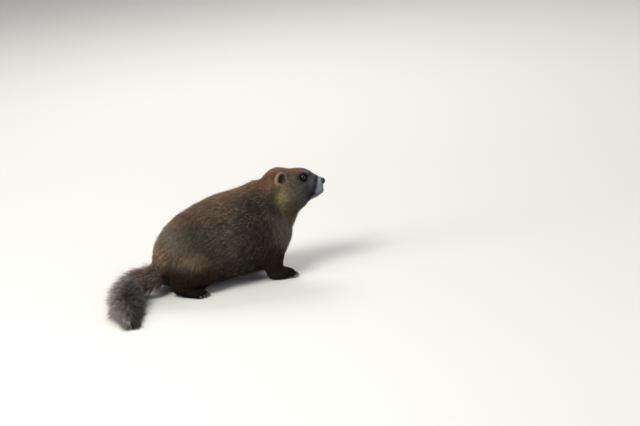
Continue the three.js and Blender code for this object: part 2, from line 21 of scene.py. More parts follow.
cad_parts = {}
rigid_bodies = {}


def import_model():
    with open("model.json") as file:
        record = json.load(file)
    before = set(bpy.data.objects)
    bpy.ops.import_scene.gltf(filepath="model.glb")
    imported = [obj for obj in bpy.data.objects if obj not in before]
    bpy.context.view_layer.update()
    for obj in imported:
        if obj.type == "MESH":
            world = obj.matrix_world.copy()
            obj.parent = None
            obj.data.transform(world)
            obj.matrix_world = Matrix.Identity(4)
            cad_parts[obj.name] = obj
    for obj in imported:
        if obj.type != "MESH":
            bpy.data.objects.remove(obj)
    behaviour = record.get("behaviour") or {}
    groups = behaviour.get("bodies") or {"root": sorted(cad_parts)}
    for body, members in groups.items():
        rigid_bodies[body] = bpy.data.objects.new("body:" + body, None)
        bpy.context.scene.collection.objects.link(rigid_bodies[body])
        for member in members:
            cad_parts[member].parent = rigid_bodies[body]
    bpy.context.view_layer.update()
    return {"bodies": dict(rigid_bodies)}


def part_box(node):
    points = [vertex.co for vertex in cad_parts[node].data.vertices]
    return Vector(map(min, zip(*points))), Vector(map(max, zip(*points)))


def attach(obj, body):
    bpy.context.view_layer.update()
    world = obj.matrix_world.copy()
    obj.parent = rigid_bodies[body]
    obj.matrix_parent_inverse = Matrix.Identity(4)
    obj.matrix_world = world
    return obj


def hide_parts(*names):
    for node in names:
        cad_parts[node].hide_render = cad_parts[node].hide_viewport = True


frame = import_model()

Array = np.ndarray
Point = tuple[float, float, float]
log = logging.getLogger("marmot")

MM = 0.001  # metres in a millimetre
BODY = next(iter(frame["bodies"]))  # the one rigid body that every piece rides on

# Driving sizes, as the solids have them
BODY_WIDTH = 146.0
CHEST_WIDTH = 128.0
HEAD_WIDTH = 70.0
MUZZLE_X = 70.5
NOSE = (84.5, 0.0, -9.5)
EYE = (46.5, 18.5, 1.8)
EYE_RADIUS = 6.6
EAR = (12.0, 8.0, 13.5)
EAR_HOLLOW = (9.0, 8.6, 10.5)
EAR_HOLLOW_AT = (0.8, 5.6, 0.5)  # out from the ear's middle
HEEL_SET = 11.0
FORE_SPREAD = 43.0
HIND_SPREAD = 48.0
FORE_SPLAY = 0.1
HIND_SPLAY = 0.75
TOE_RADIUS = 5.2
TAIL_HAIR = (42.0, 60.0)  # length of the tail's hair near the rump and near its tip
SPLAY = 0.76  # how far that hair stands off at its root, against how far it goes along the tail
SOLE_Z = 0.3  # how far above the ground the lowest hair and hide stay


class Side(Enum):
    """The animal's right and left, with their sign along Y."""

    RIGHT = -1
    LEFT = 1

    @property
    def label(self) -> str:
        """The side's name in the names of pieces."""
        return self.name.lower()


class Foot(Enum):
    """The pair of feet that a paw is of, with its word in the names of pieces."""

    FORE = "fore"
    HIND = "hind"


class Region(Enum):
    """The regions of the coat, in the order in which they are grown."""

    CHEST = ("chest", "body_fur", 9, 2)
    FLANK = ("flank", "body_fur", 9, 2)
    HEAD = ("head", "face_fur", 6, 2)
    LEGS = ("legs", "leg_fur", 7, 2)
    MUZZLE = ("muzzle", "face_fur", 4, 1)
    NECK = ("neck", "body_fur", 8, 2)
    PAWS = ("paws", "paw_fur", 4, 1)
    RUMP = ("rump", "body_fur", 9, 2)
    TAIL = ("tail", "tail_fur", 6, 2)

    def __init__(self, label: str, slot: str, lock: int, bends: int) -> None:
        """Names a region.

        Args:
            label: its word in the names of pieces.
            slot: the record's material slot for its finish.
            lock: about how many tufts share a lock.
            bends: how many straight stretches a tuft has.
        """
        self.label = label
        self.slot = slot
        self.lock = lock
        self.bends = bends


FORE_X = {Side.RIGHT: 150.0, Side.LEFT: 134.0}
HIND_X = {Side.RIGHT: -8.0, Side.LEFT: -14.0}


def unit(vectors: Array) -> Array:
    """Scales vectors along the last axis to a length of one."""
    return vectors / np.maximum(np.linalg.norm(vectors, axis=-1, keepdims=True), 1e-9)


def ramp(values: Array, low: float, high: float) -> Array:
    """A smooth step from 0 at low to 1 at high."""
    t = np.clip((values - low) / (high - low), 0.0, 1.0)
    return t * t * (3 - 2 * t)


def linear(colour: int) -> tuple[float, float, float, float]:
    """Turns an sRGB hex colour into the linear one that a shader reads.

    Args:
        colour: the colour, as 0xRRGGBB.

    Returns:
        Linear red, green and blue, and an alpha of one.
    """
    channels = [(colour >> shift & 255) / 255 for shift in (16, 8, 0)]
    red, green, blue = (c / 12.92 if c <= 0.04045 else ((c + 0.055) / 1.055) ** 2.4 for c in channels)
    return red, green, blue, 1.0


class Place:
    """Where a part is carried: its position and its turn about X, then Y, then Z."""

    def __init__(self, at: Point = (0, 0, 0), turn: Point = (0, 0, 0), on: "Place | None" = None) -> None:
        """Sets the place.

        Args:
            at: its position, in millimetres.
            turn: its turn about X, then Y, then Z, in radians.
            on: the place that both are given on, or the animal's frame.
        """
        self.matrix = np.eye(4)
        self.matrix[:3, :3] = np.array(Euler(turn, "XYZ").to_matrix())
        self.matrix[:3, 3] = at
        if on is not None:
            self.matrix = on.matrix @ self.matrix

    def point(self, x: float, y: float, z: float) -> Array:
        """A point of this place in the animal's frame."""
        return self.matrix[:3, :3] @ np.array([x, y, z]) + self.matrix[:3, 3]

    def way(self, x: float, y: float, z: float) -> Array:
        """A direction of this place, of length one, in the animal's frame."""
        return unit(self.matrix[:3, :3] @ np.array([x, y, z], float))

    def local(self, points: Array) -> Array:
        """Points of the animal's frame as this place sees them."""
        return (points - self.matrix[:3, 3]) @ self.matrix[:3, :3]


GROUND = Place()
HEAD = Place((184, -2, 176), (-0.09, 0.07, -0.2))
PAW_PLACE = {
    Foot.FORE: {
        side: Place((FORE_X[side], side.value * FORE_SPREAD, 0), (0, 0, side.value * FORE_SPLAY))
        for side in Side
    },
    Foot.HIND: {
        side: Place((HIND_X[side] - HEEL_SET, side.value * HIND_SPREAD, 0), (0, 0, side.value * HIND_SPLAY))
        for side in Side
    },
}
EAR_PLACE = {
    side: Place((4, side.value * 30, 2), (side.value * -0.12, 0, side.value * -0.4), HEAD) for side in Side
}
EYE_AT = {side: HEAD.point(EYE[0], side.value * EYE[1], EYE[2]) for side in Side}
EYE_WAY = {side: HEAD.way(0.3, side.value, 0.12) for side in Side}


def packed_offset() -> Array:
    """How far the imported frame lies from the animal's, read from where the two eyes are.

    Returns:
        The offset in millimetres.
    """
    corners = [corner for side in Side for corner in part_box(f"eye_{side.label}")]
    return np.mean([np.array(corner) for corner in corners], axis=0) / MM - HEAD.point(EYE[0], 0, EYE[2])


OFFSET = packed_offset()


@dataclass(frozen=True)
class Mass:
    """An ellipsoid of flesh and coat, or of air where it carves."""

    at: Point
    size: Point
    turn: Point = (0, 0, 0)
    blend: float = 14.0
    on: Place = GROUND
    carve: bool = False

    def shrunk(self, depth: float) -> "Mass":
        """The same mass without the coat on it."""
        return replace(self, size=tuple(s - depth for s in self.size))

    def distance(self, points: Array) -> Array:
        """Measures how far points are from the surface.

        Args:
            points: places in the animal's frame, along the last axis.

        Returns:
            The distances, less than zero inside.
        """
        local = Place(self.at, self.turn, self.on).local(points)
        size = np.array(self.size)
        near = np.linalg.norm(local / size, axis=-1)
        slope = np.linalg.norm(local / size**2, axis=-1)
        return near * (near - 1) / np.maximum(slope, 1e-9)

    def box(self) -> tuple[Array, Array]:
        """Finds how far the shape reaches.

        Returns:
            Its lowest and its highest corner.
        """
        matrix = Place(self.at, self.turn, self.on).matrix
        spread = np.linalg.norm(matrix[:3, :3] * np.array(self.size), axis=1)
        return matrix[:3, 3] - spread, matrix[:3, 3] + spread


@dataclass(frozen=True)
class Limb:
    """A round cone between two balls."""

    start: Point
    start_radius: float
    end: Point
    end_radius: float
    blend: float = 10.0
    on: Place = GROUND
    carve: bool = False

    def shrunk(self, depth: float) -> "Limb":
        """The same limb without the coat on it."""
        return replace(self, start_radius=self.start_radius - depth, end_radius=self.end_radius - depth)

    def distance(self, points: Array) -> Array:
        """Measures how far points are from the surface.

        Args:
            points: places in the animal's frame, along the last axis.

        Returns:
            The distances, less than zero inside.
        """
        start = self.on.point(*self.start)
        along = self.on.point(*self.end) - start
        t = np.clip((points - start) @ along / (along @ along), 0.0, 1.0)
        radius = self.start_radius + (self.end_radius - self.start_radius) * t
        return np.linalg.norm(points - start - t[..., None] * along, axis=-1) - radius

    def box(self) -> tuple[Array, Array]:
        """Finds how far the shape reaches.

        Returns:
            Its lowest and its highest corner.
        """
        ends = np.array([self.on.point(*self.start), self.on.point(*self.end)])
        radius = max(self.start_radius, self.end_radius)
        return ends.min(0) - radius, ends.max(0) + radius


Shape = Mass | Limb


def blended(here: Array, shape: Shape, there: Array) -> Array:
    """Joins a shape to others, or carves it from them, smoothly over its own blend.

    Args:
        here: the distances from the others.
        shape: the shape.
        there: the distances from it.

    Returns:
        The distances from all together.
    """
    a, b = (-here, there) if shape.carve else (here, there)
    overlap = np.maximum(shape.blend - np.abs(a - b), 0.0) / shape.blend
    joined = np.minimum(a, b) - overlap**2 * shape.blend / 4
    return -joined if shape.carve else joined


@dataclass(frozen=True)
class Coat:
    """How the hair grows on a part: sizes in millimetres, and tufts on a square centimetre."""

    depth: float  # from the hide up to the coat's surface
    length: float
    width: float
    density: float
    lie: Array  # the way that the hair points, before it is laid flat on the hide
    reach: float = 6.0  # how gradually this coat gives way to the next one
    region: Region = Region.HEAD


@dataclass
class Part:
    """A part of the animal: the shapes that it is made of and the coat on it."""

    name: str
    shapes: list[Shape]
    coat: Coat
    bare: bool = False  # the shapes are the hide itself, with no coat to take off

    def hide(self) -> list[Shape]:
        """The part's shapes without their coat."""
        return self.shapes if self.bare else [shape.shrunk(self.coat.depth) for shape in self.shapes]

    def coated(self) -> list[Shape]:
        """The part's shapes out to the surface of their coat."""
        depth = self.coat.depth if self.bare else 0.0
        return [shape.shrunk(depth if shape.carve else -depth) for shape in self.shapes]


@dataclass
class TailPath:
    """The line of the tail, from the rump back and round to the animal's right."""

    knots: tuple[Point, ...] = (
        (-66, 0, 35), (-92, -3, 30), (-111, -16, 26), (-125, -38, 22),
        (-136, -66, 19), (-145, -96, 15), (-151, -124, 12), (-154, -144, 10),
    )
    samples: int = 120

    def __post_init__(self) -> None:
        """Samples a smooth curve through the knots at even distances."""
        inner = np.array(self.knots, float)
        knots = np.array([2 * inner[0] - inner[1], *inner, 2 * inner[-1] - inner[-2]])
        spans = []
        t = np.linspace(0, 1, 24, endpoint=False)[:, None]
        for a, b, c, d in zip(knots, knots[1:], knots[2:], knots[3:]):
            square, cube = 2 * a - 5 * b + 4 * c - d, 3 * b - a - 3 * c + d
            spans.append(0.5 * (2 * b + (c - a) * t + square * t**2 + cube * t**3))
        dense = np.vstack([*spans, knots[-2:-1]])
        run = np.concatenate([[0], np.cumsum(np.linalg.norm(np.diff(dense, axis=0), axis=1))])
        self.length = float(run[-1])
        even = np.linspace(0, self.length, self.samples)
        self.points = np.stack([np.interp(even, run, dense[:, n]) for n in range(3)], 1)
        self.tangents = unit(np.gradient(self.points, axis=0))

    def at(self, distance: Array) -> tuple[Array, Array]:
        """Points and directions along the tail, also before its root and past its last vertebra.

        Args:
            distance: how far along, in millimetres.

        Returns:
            The points and the unit tangents there.
        """
        steps = np.linspace(0, self.length, len(self.points))
        point = np.stack([np.interp(distance, steps, self.points[:, n]) for n in range(3)], -1)
        tangent = unit(np.stack([np.interp(distance, steps, self.tangents[:, n]) for n in range(3)], -1))
        beyond = distance - np.clip(distance, 0.0, self.length)
        return point + tangent * beyond[..., None], tangent


TAIL = TailPath()


@dataclass(frozen=True)
class ToeRow:
    """The toes of a paw, fanned across its front."""

    fan: tuple[tuple[float, float], ...]  # for each toe, how far across it is and how far past the front
    front: float
    knuckle_z: float
    tip_z: float


TOES = {
    Foot.FORE: ToeRow(((-12.0, 0.0), (-4.2, 4.0), (4.2, 4.5), (12.0, 1.0)), 30.0, 12.5, 7.0),
    Foot.HIND: ToeRow(((-12.5, -3.0), (-6.4, 1.5), (0.0, 3.5), (6.4, 2.0), (12.0, -3.5)), 31.0, 9.0, 5.6),
}


@dataclass(frozen=True)
class Paw:
    """The toes and claws of one foot, in the foot's own place."""

    foot: Foot
    side: Side

    @property
    def place(self) -> Place:
        """Where the foot is carried."""
        return PAW_PLACE[self.foot][self.side]

    def toes(self) -> list[Shape]:
        """Shapes the toes, from their roots to just behind the claws.

        Returns:
            The limbs that each toe is a chain of.
        """
        made = []
        row = TOES[self.foot]
        for across, extra in row.fan:
            front, arch, tip = row.front + extra, row.knuckle_z, row.tip_z
            line = [
                ((front - 22, across * 0.8, arch - 1), 4.2),
                ((front - 10, across, arch), TOE_RADIUS - 0.5),
                ((front - 2, across * 1.05, tip + 2), 4.4),
                ((front + 0.9, across * 1.08, tip - 0.2), 3.4),
            ]
            made += [Limb(p, r, q, s, 1.8, self.place) for (p, r), (q, s) in zip(line, line[1:])]
        return made

    def claw_lines(self) -> list[Array]:
        """Curves each claw down from inside its toe.

        Returns:
            The claws' middle lines, each from its root to its point.
        """
        lines = []
        row = TOES[self.foot]
        for across, extra in row.fan:
            front, tip = row.front + extra, row.tip_z
            knots = [
                (front + 0.5, across * 1.07, tip),
                (front + 7.5, across * 1.12, tip - 0.3),
                (front + 11, across * 1.15, 1.3),
            ]
            a, b, c = (self.place.point(*knot) for knot in knots)
            t = np.linspace(0, 1, 9)[:, None]
            lines.append((1 - t) ** 2 * a + 2 * t * (1 - t) * b + t**2 * c)
        return lines


class Anatomy:
    """All the parts of the animal, in the order in which they blend into each other."""

    def __init__(self) -> None:
        """Lists the parts: the coated body first, then what shows bare or nearly so."""
        self.parts = [*self.trunk(), self.neck(), *self.legs(), *self.head(), *self.features()]

    def trunk(self) -> list[Part]:
        """Shapes the rump, the barrel of the body and the chest.

        Returns:
            The parts.
        """
        rump = Coat(9, 22, 0.9, 80, unit(np.array([-0.8, 0, -0.75])), region=Region.RUMP)
        back = Coat(9, 24, 0.9, 85, unit(np.array([-1, 0, -0.35])), region=Region.FLANK)
        chest = Coat(8.5, 20, 0.9, 85, unit(np.array([-0.35, 0, -1])), region=Region.CHEST)
        return [
            Part("rump", [Mass((17, 0, 77), (64, 54, 86), (0, 0.98, 0))], rump),
            Part(
                "back",
                [
                    Mass((60, 0, 81), (63, BODY_WIDTH / 2, 75), (0, 0.26, 0), 20),
                    Mass((111, 0, 88), (81, CHEST_WIDTH / 2, 79), blend=24),
                    Mass((143.5, 0, 120), (32, 42, 56), blend=20),
                ],
                back,
            ),
            Part("chest", [Mass((162, 0, 82), (36.5, 44, 45), blend=22)], chest),
        ]

    def neck(self) -> Part:
        """Shapes the neck, from the withers and the chest up to the head.

        Returns:
            The part.
        """
        coat = Coat(7.5, 18, 0.85, 75, unit(np.array([-0.85, 0, -0.55])), region=Region.NECK)
        shapes = [
            Limb((150, 0, 121), 41, (189, -2, 144), 31, 20),
            Mass((194.5, -2, 118), (21, 30, 31.5), blend=18),
        ]
        return Part("neck", shapes, coat)

    def legs(self) -> list[Part]:
        """Shapes the shoulders, forearms, thighs, shanks and paws.

        Returns:
            The parts, the right side's first.
        """
        arm = Coat(6, 15, 0.85, 75, unit(np.array([-0.4, 0, -1])), region=Region.LEGS)
        forearm = Coat(3.2, 9, 0.65, 100, unit(np.array([-0.12, 0, -1])), 4, Region.LEGS)
        thigh = Coat(7, 18, 0.9, 70, unit(np.array([-0.55, 0, -0.8])), region=Region.LEGS)
        shank = Coat(4.5, 12, 0.75, 90, unit(np.array([-0.3, 0, -0.9])), region=Region.LEGS)
        parts = []
        for side in Side:
            fx, hx, s = FORE_X[side], HIND_X[side], side.value
            fore, hind = PAW_PLACE[Foot.FORE][side], PAW_PLACE[Foot.HIND][side]
            heel = Coat(2.4, 7, 0.65, 95, hind.way(0.3, 0, -1), 4, Region.LEGS)
            fore_paw = Coat(0.9, 4.2, 0.5, 170, fore.way(1, 0, -0.15), 3, Region.PAWS)
            hind_paw = Coat(0.9, 4.2, 0.5, 170, hind.way(1, 0, -0.15), 3, Region.PAWS)
            parts += [
                Part(f"arm_{side.label}", [Mass((fx - 6, s * 42, 82), (34, 24, 44), blend=16)], arm),
                Part(
                    f"forearm_{side.label}",
                    [Limb((fx - 4, s * FORE_SPREAD, 54), 25, (fx, s * FORE_SPREAD, 20), 15.5, 14)],
                    forearm,
                ),
                Part(
                    f"forepaw_{side.label}",
                    [Mass((11, 0, 9.5), (23, 16.5, 11.5), blend=8, on=fore)],
                    fore_paw,
                ),
                Part(f"thigh_{side.label}", [Mass((hx + 12, s * 44, 52), (42, 26, 38), blend=16)], thigh),
                Part(
                    f"shank_{side.label}",
                    [Mass((hx + 16, s * 50, 34), (34, 20, 22), (0, -0.3, 0), 12)],
                    shank,
                ),
                Part(f"heel_{side.label}", [Mass((-9, 0, 23), (22.5, 16, 14.5), blend=10, on=hind)], heel),
                Part(
                    f"hindpaw_{side.label}",
                    [Mass((1, 0, 9.3), (32.5, 15, 9.5), (0, 0.16, 0), 8, hind)],
                    hind_paw,
                ),
            ]
        return parts

    def head(self) -> list[Part]:
        """Shapes the skull, muzzle, jaw, cheeks and brows.

        Returns:
            The parts.
        """
        skull = Coat(3, 8.5, 0.58, 165, HEAD.way(-1, 0, -0.05), 5)
        muzzle = Coat(1.0, 3.4, 0.38, 330, HEAD.way(-1, 0, -0.25), 4, Region.MUZZLE)
        jaw = Coat(4, 10, 0.6, 135, HEAD.way(-1, 0, -0.35), 5)
        brow = Coat(1.4, 5, 0.42, 260, HEAD.way(-1, 0, 0.1), 3, Region.MUZZLE)
        parts = [
            Part(
                "skull",
                [
                    Mass((2, 0, -12), (29, HEAD_WIDTH / 2, 30), on=HEAD),
                    Mass((36, 0, -7), (35, 26, 23), blend=12, on=HEAD),
                ],
                skull,
            ),
            Part(
                "muzzle",
                [
                    Limb((50, 0, -9), 17.4, (MUZZLE_X + 2.5, 0, -11.5), 12.2, 10, HEAD),
                    *(
                        Mass((MUZZLE_X, s.value * 7.5, -21.5), (14.2, 11, 13), blend=7, on=HEAD)
                        for s in Side
                    ),
                    Mass((61, 0, -28.5), (16.5, 14, 13), blend=9, on=HEAD),
                    *(Mass((57, s.value * 9, -17), (20, 12.5, 16), blend=10, on=HEAD) for s in Side),
                ],
                muzzle,
            ),
            Part("jaw", [Mass((34, 0, -35), (24.5, 24, 25), blend=12, on=HEAD)], jaw),
        ]
        for side in Side:
            s = side.value
            cheek = Coat(4.2, 11, 0.6, 140, HEAD.way(-1, 0.15 * s, -0.5), 6)
            shapes = [
                Mass((8, s * 15, -9), (25, 17, 23), blend=10, on=HEAD),
                Mass((24, s * 20, -22), (27, 18, 23), blend=12, on=HEAD),
            ]
            parts += [
                Part(f"cheek_{side.label}", shapes, cheek),
                Part(f"brow_{side.label}", [Mass((45, s * 15, 7.2), (14, 9, 6), blend=8, on=HEAD)], brow),
            ]
        return parts

    def features(self) -> list[Part]:
        """Shapes what carries little or no hair: ears, lids, toes, and the tail's flesh under its brush.

        Returns:
            The parts, whose shapes are the hide itself.
        """
        parts = []
        none = Coat(0, 1, 0.1, 0, np.array([0.0, 0, -1]), 1.2)
        for side in Side:
            s = side.value
            ear, eye, way = EAR_PLACE[side], EYE_AT[side], EYE_WAY[side]
            hairs = Coat(0.9, 2.9, 0.4, 420, HEAD.way(-0.25, 0.5 * s, 1), 2, Region.MUZZLE)
            hollow_x, hollow_y, hollow_z = EAR_HOLLOW_AT
            ear_shapes = [
                Mass((0, 0, 0), EAR, blend=3, on=ear).shrunk(0.9),
                Mass((hollow_x, s * hollow_y, hollow_z), EAR_HOLLOW, blend=1.6, on=ear, carve=True),
            ]
            forward = HEAD.way(1, -0.3 * s, 0)
            corner = unit(forward - way * (way @ forward))
            lids = [
                Mass(tuple(eye), (EYE_RADIUS + 1.2,) * 3, blend=3.5),
                Mass(tuple(eye), (EYE_RADIUS + 0.12,) * 3, blend=0.5, carve=True),
                *(
                    Mass(tuple(eye + way * 6 + corner * shift), (4.6, 4.6, 4.6), blend=1.0, carve=True)
                    for shift in (-1.5, 0, 1.5)
                ),
            ]
            parts.append(Part(f"ear_{side.label}", ear_shapes, hairs, True))
            parts.append(Part(f"lids_{side.label}", lids, none, True))
        for side in Side:
            for foot in Foot:
                paw = Paw(foot, side)
                hairs = Coat(0.7, 3.2, 0.45, 170, paw.place.way(1, 0, -0.4), 2, Region.PAWS)
                parts.append(Part(f"toes_{foot.value}_{side.label}", paw.toes(), hairs, True))
        stations, _ = TAIL.at(np.linspace(-20, TAIL.length * 0.9, 12))
        radii = np.interp(np.linspace(0, 1, 12), [0, 0.2, 0.5, 1], [17, 11, 8, 3])
        tail = [
            Limb(tuple(a), ra, tuple(b), rb, 5)
            for a, ra, b, rb in zip(stations, radii, stations[1:], radii[1:])
        ]
        under = Coat(4, 13, 0.8, 45, np.array([-1.0, 0, -0.2]), 6, Region.TAIL)
        parts.append(Part("tail", tail, under, True))
        return parts


@dataclass
class Hide:
    """The skin of the whole animal under its coat, as one closed surface."""

    anatomy: Anatomy
    margin: float = 5.0  # beyond a shape's own blend, where its distance stops to matter
    grades: tuple[tuple[Point, ...], ...] = (
        ((-176, -70, 2.4), (-70, 26, 1.8), (26, 128, 3.0), (128, 196, 1.6), (196, 276, 1.05)),
        ((-140, -82, 2.6), (-82, -44, 1.7), (-44, 38, 1.05), (38, 82, 1.7)),
        ((-1.8, 20, 1.3), (20, 124, 2.4), (124, 204, 1.1)),
    )  # low end, high end and step along X, Y and Z: finest at the face, then at the paws

    def __post_init__(self) -> None:
        """Takes the coat off each part, and finds the mouth on what is left."""
        self.parts = self.anatomy.parts
        self.shapes = [shape for part in self.parts for shape in part.hide()]
        self.coat_shapes = [shape for part in self.parts for shape in part.coated()]
        lips, groove = self.mouth()
        self.parts = [*self.parts, lips]
        self.shapes += [*lips.shapes, *groove]

    def mouth(self) -> tuple[Part, list[Shape]]:
        """The lips and the line between them, round the muzzle from corner to corner.

        Returns:
            The lips as a part, and the shapes that carve the line.
        """
        angles = np.linspace(-1.5, 1.5, 25)
        starts = np.array([HEAD.point(61, 0, -30 + 6 * math.exp(-((a / 0.5) ** 2))) for a in angles])
        ways = np.array([HEAD.way(math.cos(a), math.sin(a), 0) for a in angles])
        low, high = np.zeros(len(angles)), np.full(len(angles), 60.0)
        for _ in range(24):
            middle = (low + high) / 2
            inside = self.distance(starts + ways * middle[:, None]) < 0
            low, high = np.where(inside, middle, low), np.where(inside, high, middle)
        line = starts + ways * low[:, None]
        fade = np.clip(np.minimum(np.arange(25), np.arange(25)[::-1]) / 3, 0.3, 1)
        pairs = list(zip(line, fade, line[1:], fade[1:]))
        bead = [Limb(tuple(a), 1.5 * f, tuple(b), 1.5 * g, 3) for a, f, b, g in pairs]
        groove = [Limb(tuple(a), 0.8 * f, tuple(b), 0.8 * g, 1, carve=True) for a, f, b, g in pairs]
        bare = Coat(0, 1, 0.1, 0, np.array([0.0, 0, -1]), 0.8)
        return Part("lips", bead, bare, True), groove

    def distance(self, points: Array, coated: bool = False) -> Array:
        """Distance from the hide, or from the surface of the coat on it, less than zero inside.

        Args:
            points: places in the animal's frame, one in each row.
            coated: whether to measure from the coat's surface.

        Returns:
            The distances in millimetres, large where nothing is near.
        """
        made = np.full(len(points), 1e3)
        for shape in self.coat_shapes if coated else self.shapes:
            low, high = shape.box()
            margin = shape.blend + self.margin
            near = np.flatnonzero(np.all((points > low - margin) & (points < high + margin), axis=1))
            if len(near):
                made[near] = blended(made[near], shape, shape.distance(points[near]))
        return np.maximum(made, SOLE_Z - points[:, 2])

    def normals(self, points: Array, coated: bool = False) -> Array:
        """Finds the way out of the hide, or of the coat on it.

        Args:
            points: places on or near it, one in each row.
            coated: whether to measure from the coat's surface.

        Returns:
            The unit normals.
        """
        shifts = [
            self.distance(points + step, coated) - self.distance(points - step, coated)
            for step in np.eye(3) * 0.25
        ]
        return unit(np.stack(shifts, axis=1))

    def grid(self) -> tuple[list[Array], Array]:
        """The distance on a graded grid.

        Returns:
            The coordinates along each axis, and the distances.
        """
        axes = [
            np.concatenate([np.arange(low, high - step / 2, step) for low, high, step in grade])
            for grade in self.grades
        ]
        values = np.full([len(axis) for axis in axes], 1e3)
        for shape in self.shapes:
            low, high = shape.box()
            margin = shape.blend + self.margin
            spans = tuple(
                slice(*np.searchsorted(axes[n], (low[n] - margin, high[n] + margin))) for n in range(3)
            )
            block = values[spans]
            if block.size:
                grids = np.meshgrid(*(axes[n][spans[n]] for n in range(3)), indexing="ij")
                block[:] = blended(block, shape, shape.distance(np.stack(grids, axis=-1)))
        return axes, np.maximum(values, SOLE_Z - axes[2])

    def surface(self) -> tuple[Array, Array]:
        """Polygonises the hide and moves each vertex onto the true surface.

        Returns:
            The vertices, and the quads as rows of four vertex numbers.
        """
        vertices, quads = net(*self.grid())
        for _ in range(2):
            away = self.distance(vertices)
            vertices = vertices - self.normals(vertices) * np.clip(away, -0.6, 0.6)[:, None]
        vertices[:, 2] = np.maximum(vertices[:, 2], SOLE_Z)
        return vertices, quads

    def shares(self, points: Array) -> Array:
        """How much each part's coat counts at points on the hide.

        Args:
            points: places in the animal's frame, one in each row.

        Returns:
            One row for each point and one column for each part, and each row adds up to one.
        """
        away = np.full((len(points), len(self.parts)), 1e3)
        for n, part in enumerate(self.parts):
            for shape in part.hide():
                low, high = shape.box()
                near = np.flatnonzero(np.all((points > low - 30) & (points < high + 30), axis=1))
                if len(near) and not shape.carve:
                    away[near, n] = np.minimum(away[near, n], shape.distance(points[near]))
        reach = np.array([part.coat.reach for part in self.parts])
        weights = np.exp(-(away - away.min(axis=1, keepdims=True)) / reach)
        return weights / weights.sum(axis=1, keepdims=True)


def net(axes: list[Array], values: Array) -> tuple[Array, Array]:
    """Polygonises where a grid's values change sign, with one vertex in each cell that the surface crosses.

    Args:
        axes: the grid's coordinates along X, Y and Z.
        values: distances at the grid's points, less than zero inside.

    Returns:
        The vertices, and the quads as rows of four vertex numbers, facing out.
    """
    inside = values < 0
    corners = [(a, b, c) for a in (0, 1) for b in (0, 1) for c in (0, 1)]
    size = [n - 1 for n in values.shape]
    count = sum(
        inside[a : a + size[0], b : b + size[1], c : c + size[2]].astype(np.int8) for a, b, c in corners
    )
    cells = np.argwhere((count > 0) & (count < 8))
    number = np.full(size, -1)
    number[tuple(cells.T)] = np.arange(len(cells))
    total, crossings = np.zeros((len(cells), 3)), np.zeros(len(cells))
    for axis in range(3):
        step = np.eye(3, dtype=int)[axis]
        for corner in corners:
            if corner[axis]:
                continue
            start = cells + corner
            end = start + step
            a, b = values[tuple(start.T)], values[tuple(end.T)]
            crossed = (a < 0) != (b < 0)
            share = np.where(crossed, a / np.where(crossed, a - b, 1), 0)[:, None]
            p = np.stack([axes[n][start[:, n]] for n in range(3)], 1)
            q = np.stack([axes[n][end[:, n]] for n in range(3)], 1)
            total += np.where(crossed[:, None], p + (q - p) * share, 0)
            crossings += crossed
    quads = []
    for axis in range(3):
        u, v = np.eye(3, dtype=int)[(axis + 1) % 3], np.eye(3, dtype=int)[(axis + 2) % 3]
        low = np.take(inside, range(size[axis]), axis)
        high = np.take(inside, range(1, size[axis] + 1), axis)
        edges = np.argwhere(low != high)
        others = [n for n in range(3) if n != axis]
        edges = edges[np.all([(edges[:, n] > 0) & (edges[:, n] < size[n]) for n in others], axis=0)]
        ring = np.stack([number[tuple((edges - back).T)] for back in (u + v, v, 0 * u, u)], axis=1)
        out = low[tuple(edges.T)]
        quads.append(np.where(out[:, None], ring, ring[:, ::-1]))
    return total / crossings[:, None], np.vstack(quads)


def make_piece(name: str, vertices: Array, faces: list[Array]) -> bpy.types.Object:
    """Makes an object of the marmot from arrays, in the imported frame, and lets it ride on the body.

    Args:
        name: the piece's name.
        vertices: places in the animal's frame, in millimetres.
        faces: arrays of faces, each with faces of one number of corners.

    Returns:
        The new object, shaded smoothly.
    """
    mesh = bpy.data.meshes.new(name)
    loops = np.concatenate([array.ravel() for array in faces])
    sizes = np.concatenate([np.full(len(array), array.shape[1]) for array in faces])
    mesh.vertices.add(len(vertices))
    mesh.vertices.foreach_set("co", ((vertices + OFFSET) * MM).astype(np.float32).ravel())
    mesh.loops.add(len(loops))
    mesh.loops.foreach_set("vertex_index", loops.astype(np.int32))
    mesh.polygons.add(len(sizes))
    mesh.polygons.foreach_set("loop_start", np.concatenate([[0], np.cumsum(sizes)[:-1]]).astype(np.int32))
    mesh.polygons.foreach_set("use_smooth", np.full(len(sizes), True))
    mesh.update(calc_edges=True)
    made = bpy.data.objects.new(name, mesh)
    bpy.context.scene.collection.objects.link(made)
    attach(made, BODY)
    log.info("%s: %d vertices, %d faces", name, len(vertices), len(sizes))
    return made


def set_marks(piece: bpy.types.Object, marks: dict[str, Array]) -> None:
    """Stores numbers of each vertex on a piece, for its material to read.

    Args:
        piece: the piece.
        marks: an array with a number for each vertex, by its name.
    """
    for name, values in marks.items():
        layer = piece.data.attributes.new(name, "FLOAT", "POINT")
        layer.data.foreach_set("value", values.astype(np.float32).ravel())


def unwrap(piece: bpy.types.Object) -> None:
    """Unwraps a piece by its own shape into the map that a bake reads.

    Args:
        piece: the piece, which gets the map.
    """
    piece.data.uv_layers.new(name="OFBake")
    bpy.context.view_layer.objects.active = piece
    piece.select_set(True)
    bpy.ops.object.mode_set(mode="EDIT")
    bpy.ops.mesh.select_all(action="SELECT")
    bpy.ops.uv.smart_project(angle_limit=math.radians(66), island_margin=0.002)
    bpy.ops.object.mode_set(mode="OBJECT")
    piece.select_set(False)


